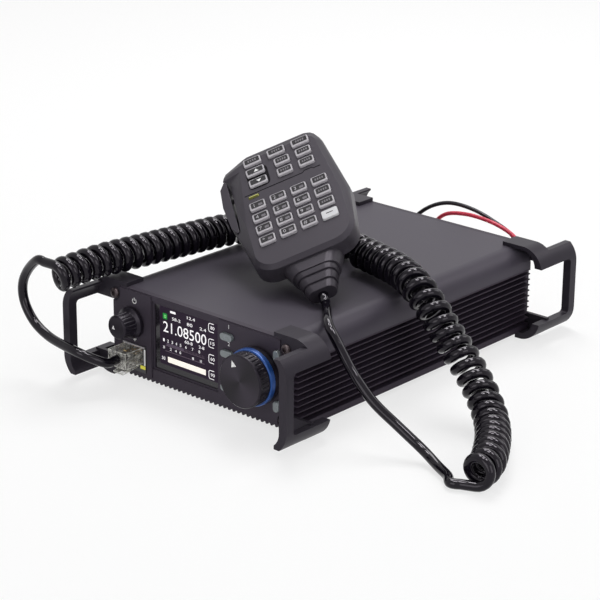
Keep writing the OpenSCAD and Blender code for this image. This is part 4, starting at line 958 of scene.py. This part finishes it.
# %% Knob marks
TUNE_Y, VOLUME_Y = -107.5, -104.8
triangle = on_front(outline([(35.0, 33.3), (38.0, 34.4), (35.2, 36.8)], INK), 0, TUNE_Y - 0.04, 0)
settle(gather("tune_pointer", [triangle]), "tuning_knob")
# The knob's face disc carries the painted highlight sectors and painted sheen of the spun finish.
disc = on_front(plate(24.9, 24.9, 12.44, KNOB_FACE_PAINTED_SHEEN, 0.02), 40, TUNE_Y, 27.3)
settle(gather("tune_face", [disc]), "tuning_knob", smooth=20)
pointer = on_front(outline([(-1.0, -0.8), (1.0, -0.8), (0, 1.1)], INK), -45.5, VOLUME_Y - 0.02, 31.0)
settle(gather("volume_pointer", [pointer]), "volume_knob")
print("knob faces at", TUNE_Y, VOLUME_Y)

# %% [markdown]
# ## Screws of the handles
# Eight domed screws with a hexagonal socket hold the handles. One head is drawn as a turned profile whose
# innermost ring is a hexagon, and Geometry Nodes put a copy on every screw's place.

# %% One screw head
def screw_head():
    """Turned profile of a domed head: radius, height and whether the ring is a hexagon."""
    sides = 24
    shape = bmesh.new()

    def ring_at(r, y, six):
        points = []
        for k in range(sides):
            a = 2 * math.pi * k / sides
            far = r / math.cos((a + math.pi / 6) % (math.pi / 3) - math.pi / 6) if six else r
            points.append(shape.verts.new((far * math.cos(a) * MM, y * MM, far * math.sin(a) * MM)))
        return points

    rings = [ring_at(r, y, six) for r, y, six in (
        (2.6, 0.0, 0), (2.6, -0.75, 0), (2.42, -1.15, 0), (2.0, -1.45, 0), (1.5, -1.58, 0),
        (1.12, -1.6, 1), (1.08, -1.55, 1), (1.05, -0.7, 1))]
    for a, b in zip(rings, rings[1:]):
        join_rims(shape, a, b)
    shape.faces.new(rings[0][::-1])
    shape.faces.new(rings[-1])
    bmesh.ops.recalc_face_normals(shape, faces=shape.faces)
    return into_scene("screw_head", from_shape("screw_head", shape))


# %% Node tree that sets out copies
set_tree, given, grown = new_tree("set_out", [
    ("Copy", "Object"), ("Turn", "Rotation"), ("Finish", "Material")])
source, put, real, paint = add_nodes(
    set_tree, "ObjectInfo", "InstanceOnPoints", "RealizeInstances", "SetMaterial")
wire_up(set_tree, [
    (given, "Copy", source, "Object"), (given, "Geometry", put, "Points"),
    (source, "Geometry", put, "Instance"), (given, "Turn", put, "Rotation"),
    (put, "Instances", real, "Geometry"), (real, "Geometry", paint, "Geometry"),
    (given, "Finish", paint, "Material"), (paint, "Geometry", grown, "Geometry")])

# %% Put the screws in
SCREW_XZ = ((55.8, 43.3), (54.5, 7.6))
head = screw_head()
screw_meshes = []
for y, turn in ((-93.0, 0.0), (93.0, math.pi)):
    places = bpy.data.meshes.new("screw_places")
    places.from_pydata([(side * x * MM, y * MM, z * MM) for side in (-1, 1) for x, z in SCREW_XZ], [], [])
    row = grow("screw_row", places, set_tree, {"Copy": head, "Turn": (0, 0, turn), "Finish": SCREW})
    screw_meshes.append(row.data)
    bpy.data.objects.remove(row)
bpy.data.objects.remove(head)
screws = settle(gather("screw_heads", screw_meshes), "radio", SCREW, 35)
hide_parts("handle_screws")
print("screw head faces:", len(screws.data.polygons))

# %% [markdown]
# ## Key legends of the microphone
# Each key is pale with a dark window on top. The window holds a figure and a small tag, a row of dashes or an
# arrow, and one key is white with a single dash. A legend rides on its own key, so it goes down with it.

# %% Key legends
PITCH_U, PITCH_V, PROUD = 10.9, 8.0, 1.2
WHITE_KEY, UP_KEY, DOWN_KEY = 15, 23, 24
ARROWS = {UP_KEY: [(-1.3, -0.8), (1.3, -0.8), (0, 1.0)], DOWN_KEY: [(-1.3, 0.8), (0, -1.0), (1.3, 0.8)]}
SIGNS = ["1", "2", "3", "", "4", "5", "6", "", "7", "8", "9", "", "*", "0", "#", ""]
keys = []
for r in range(4):
    for c in range(4):
        keys.append(((c - 1.5) * PITCH_U, (1.5 - r) * PITCH_V, 8.2, 5.3))
for c in (-1, 0, 1):
    keys.append((c * 12.9, 42.2, 9.2, 4.9))
for v in (34.8, 27.4):
    for c in (0, 1):
        keys.append((1.6 + c * 11.5, v, 8.0, 4.9))
for v in (34.8, 27.4):
    keys.append((-12.7, v, 9.6, 4.9))
for i, (u, v, w, h) in enumerate(keys):
    parts = []
    if i != WHITE_KEY:
        parts.append(on_mic(plate(w - 1.5, h - 1.7, 0.5, PAD_TOP), u + 0.1, v + 0.35, PROUD + 0.01))
    if i < len(SIGNS) and SIGNS[i]:
        parts.append(on_mic(figure(SIGNS[i], 3.0, PAD), u - 1.6, v + 0.2, PROUD + 0.03))
        parts.append(on_mic(plate(2.2, 1.5, 0.3, INK_GREY), u + 1.6, v - 0.1, PROUD + 0.03))
    elif i == WHITE_KEY:
        parts.append(on_mic(plate(3.6, 0.5, 0.2, PAD_TOP, 0.02), u, v + 0.3, PROUD + 0.01))
    elif i in ARROWS:
        parts.append(on_mic(outline(ARROWS[i], INK), u + 0.6, v + 0.2, PROUD + 0.03))
    else:
        dashes = tick_row("dashes", 4, (-1.8, 0, 0), (1.2, 0, 0), (0.75, 1.3, 0.06), INK_GREY)
        parts.append(on_mic(dashes, u + 0.1, v + 0.35, PROUD + 0.04))
    legend = gather("legend_%d" % (i + 1), parts)
    settle(legend, "mic_key_%d" % (i + 1))
print("legends:", len(keys))

# %% Lamp window with a painted rim highlight, and painted groove shade, on the microphone
window = on_mic(plate(5.6, 2.0, 0.3, LAMP_GREEN, 0.1), -17.0, 19.4, 0.03)
# Painted highlight along the window's top and right rim.
rim_highlight = ribbon([(-2.4, 0.5), (2.3, 0.5), (2.3, -0.6)], 0.5, LAMP_RIM_HIGHLIGHT, 0.05)
lamp = gather("mic_lamp", [window, on_mic(rim_highlight, -17.0, 19.5, 0.12)])
settle(lamp, "radio")
# Painted shade in the groove across the face and in the recess round the arrow keys.
GROOVE_SHADE_LINE = [(-21.5, 21.6), (9.6, 21.6), (10.6, 22.6), (14.6, 22.6), (15.4, 21.8), (19.0, 21.8)]
strip = [on_mic(ribbon(GROOVE_SHADE_LINE, 0.6, PAINTED_GROOVE_SHADE), 0, 0, 0.01),
         on_mic(plate(11.4, 13.8, 2.6, PAINTED_GROOVE_SHADE, 0.02), -12.3, 30.9, 0.01)]
groove_shade_piece = gather("mic_divider", strip)
settle(groove_shade_piece, "radio")

# %% [markdown]
# ## Plug
# The clear plug lets its inside show: eight thin gold contacts near its nose, their wires and the flat end
# of the cord. A thin pale line along each sharp edge is a painted highlight, and pale patches in the
# plastic are painted glints. The cord's tree sweeps the edge lines.

# %% Contacts and wires in the plug
WIRES, FIRST_X, WIRE_STEP = 8, -46.57, (1.02, 0, 0)
contacts = tick_row("plug_contacts", WIRES, (FIRST_X, -89.5, 18.0), WIRE_STEP, (0.35, 3.2, 1.4), GOLD)
core = bmesh.new()
bmesh.ops.create_cube(core, size=1.0)
bmesh.ops.bevel(core, geom=core.edges[:], offset=0.2, segments=3, affect="EDGES")
core_mesh = from_shape("core", core, LEAD_BLACK)
core_size = Matrix.Diagonal((0.0062, 0.0076, 0.0036, 1))
core_mesh.transform(Matrix.Translation((-0.043, -0.1005, 0.0154)) @ core_size)
wires = tick_row("plug_wires", WIRES, (FIRST_X, -94.0, 16.6), WIRE_STEP, (0.75, 6.0, 0.75), GOLD)
plug_core = gather("plug_core", [contacts, wires, core_mesh])
settle(plug_core, "radio")


def sharp_edges(node, angle):
    """Line mesh of the edges where a solid turns by more than an angle."""
    shape = bmesh.new()
    shape.from_mesh(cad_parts[node].data)
    bmesh.ops.remove_doubles(shape, verts=shape.verts, dist=MERGE)
    keen = [e for e in shape.edges if e.is_manifold and e.calc_face_angle() > math.radians(angle)]
    ends = [tuple(v.co) for e in keen for v in e.verts]
    shape.free()
    mesh = bpy.data.meshes.new(node + "_edges")
    mesh.from_pydata(ends, [(2 * i, 2 * i + 1) for i in range(len(keen))], [])
    return mesh


# Pale tubes along the plug's sharp edges: painted highlights.
plug_edges = grow("plug_edges", sharp_edges("mic_plug", 35), cord_tree,
                  {"Radius": 0.17 * MM, "Sides": 6, "Jacket": PLUG_EDGE_HIGHLIGHT})
settle(plug_edges, "radio")
print("plug edge faces:", len(plug_edges.data.polygons))

# %% [markdown]
# ## Studio
# A pale floor, a large soft lamp above and behind, weaker ones at the right, in front and at the back, and an
# even surround. Four small lamps overhead only show in glossy surfaces: they leave the bright dots on the
# turns of the cord and add no other light.

# %% Floor, lamps and surround
def seen_rays(tree, more, least):
    """least + more for rays from the camera and rays that gloss and glass send on, least for the others."""
    rays = tree.nodes.new("ShaderNodeLightPath")
    total = rays.outputs["Is Camera Ray"]
    for kind in ("Is Glossy Ray", "Is Transmission Ray"):
        add = tree.nodes.new("ShaderNodeMath")
        add.operation = "MAXIMUM"
        tree.links.new(total, add.inputs[0])
        tree.links.new(rays.outputs[kind], add.inputs[1])
        total = add.outputs[0]
    scaled = tree.nodes.new("ShaderNodeMath")
    scaled.operation = "MULTIPLY_ADD"
    scaled.inputs[1].default_value = more
    scaled.inputs[2].default_value = least
    tree.links.new(total, scaled.inputs[0])
    return scaled.outputs[0]


ground = bpy.data.meshes.new("floor")
ground.from_pydata([(-4, -4, 0), (4, -4, 0), (4, 4, 0), (-4, 4, 0)], [], [(0, 1, 2, 3)])
floor = into_scene("floor", ground)
pale = bpy.data.materials.new("floor_pale")
pale.use_nodes = True
tree = pale.node_tree
matt = tree.nodes["Principled BSDF"]
matt.inputs["Base Color"].default_value = (0.92, 0.92, 0.92, 1)
matt.inputs["Roughness"].default_value = 0.9
light = tree.nodes.new("ShaderNodeEmission")
light.inputs["Color"].default_value = (1, 1, 1, 1)
blend = tree.nodes.new("ShaderNodeMixShader")
tree.links.new(seen_rays(tree, 0.7, 0.0), blend.inputs["Fac"])
tree.links.new(matt.outputs[0], blend.inputs[1])
tree.links.new(light.outputs[0], blend.inputs[2])
tree.links.new(blend.outputs[0], tree.nodes["Material Output"].inputs["Surface"])
ground.materials.append(pale)


AIM = (0, 0, 0.04)


def lamp_at(name, place, size, power):
    data = bpy.data.lights.new(name, "AREA")
    data.size = size
    data.energy = power
    lamp = bpy.data.objects.new(name, data)
    lamp.location = place
    lamp.rotation_euler = (Vector(AIM) - Vector(place)).to_track_quat("-Z", "Y").to_euler()
    bpy.context.scene.collection.objects.link(lamp)
    return lamp


lamp_at("key_lamp", (-0.35, 0.45, 1.15), 0.6, 10)
SPARKS = ((0.1, 0.25, 1.2), (0.45, 0.05, 1.15), (-0.3, -0.15, 1.2), (0.1, -0.35, 1.1))
for k, place in enumerate(SPARKS):
    spark = lamp_at("spark_lamp_%d" % k, place, 0.24, 5)
    spark.visible_diffuse = False
lamp_at("side_lamp", (1.2, -0.3, 0.5), 0.7, 4)
lamp_at("front_lamp", (0.2, -1.3, 0.4), 0.7, 4)
lamp_at("back_lamp", (0.5, 1.0, 0.9), 0.6, 3)
world = bpy.data.worlds.new("studio")
world.use_nodes = True
bpy.context.scene.world = world
sky = world.node_tree.nodes["Background"]
sky.inputs["Color"].default_value = (1, 1, 1, 1)
world.node_tree.links.new(seen_rays(world.node_tree, 0.7, 0.3), sky.inputs["Strength"])
bpy.context.scene.view_settings.view_transform = "Standard"
print("studio set")
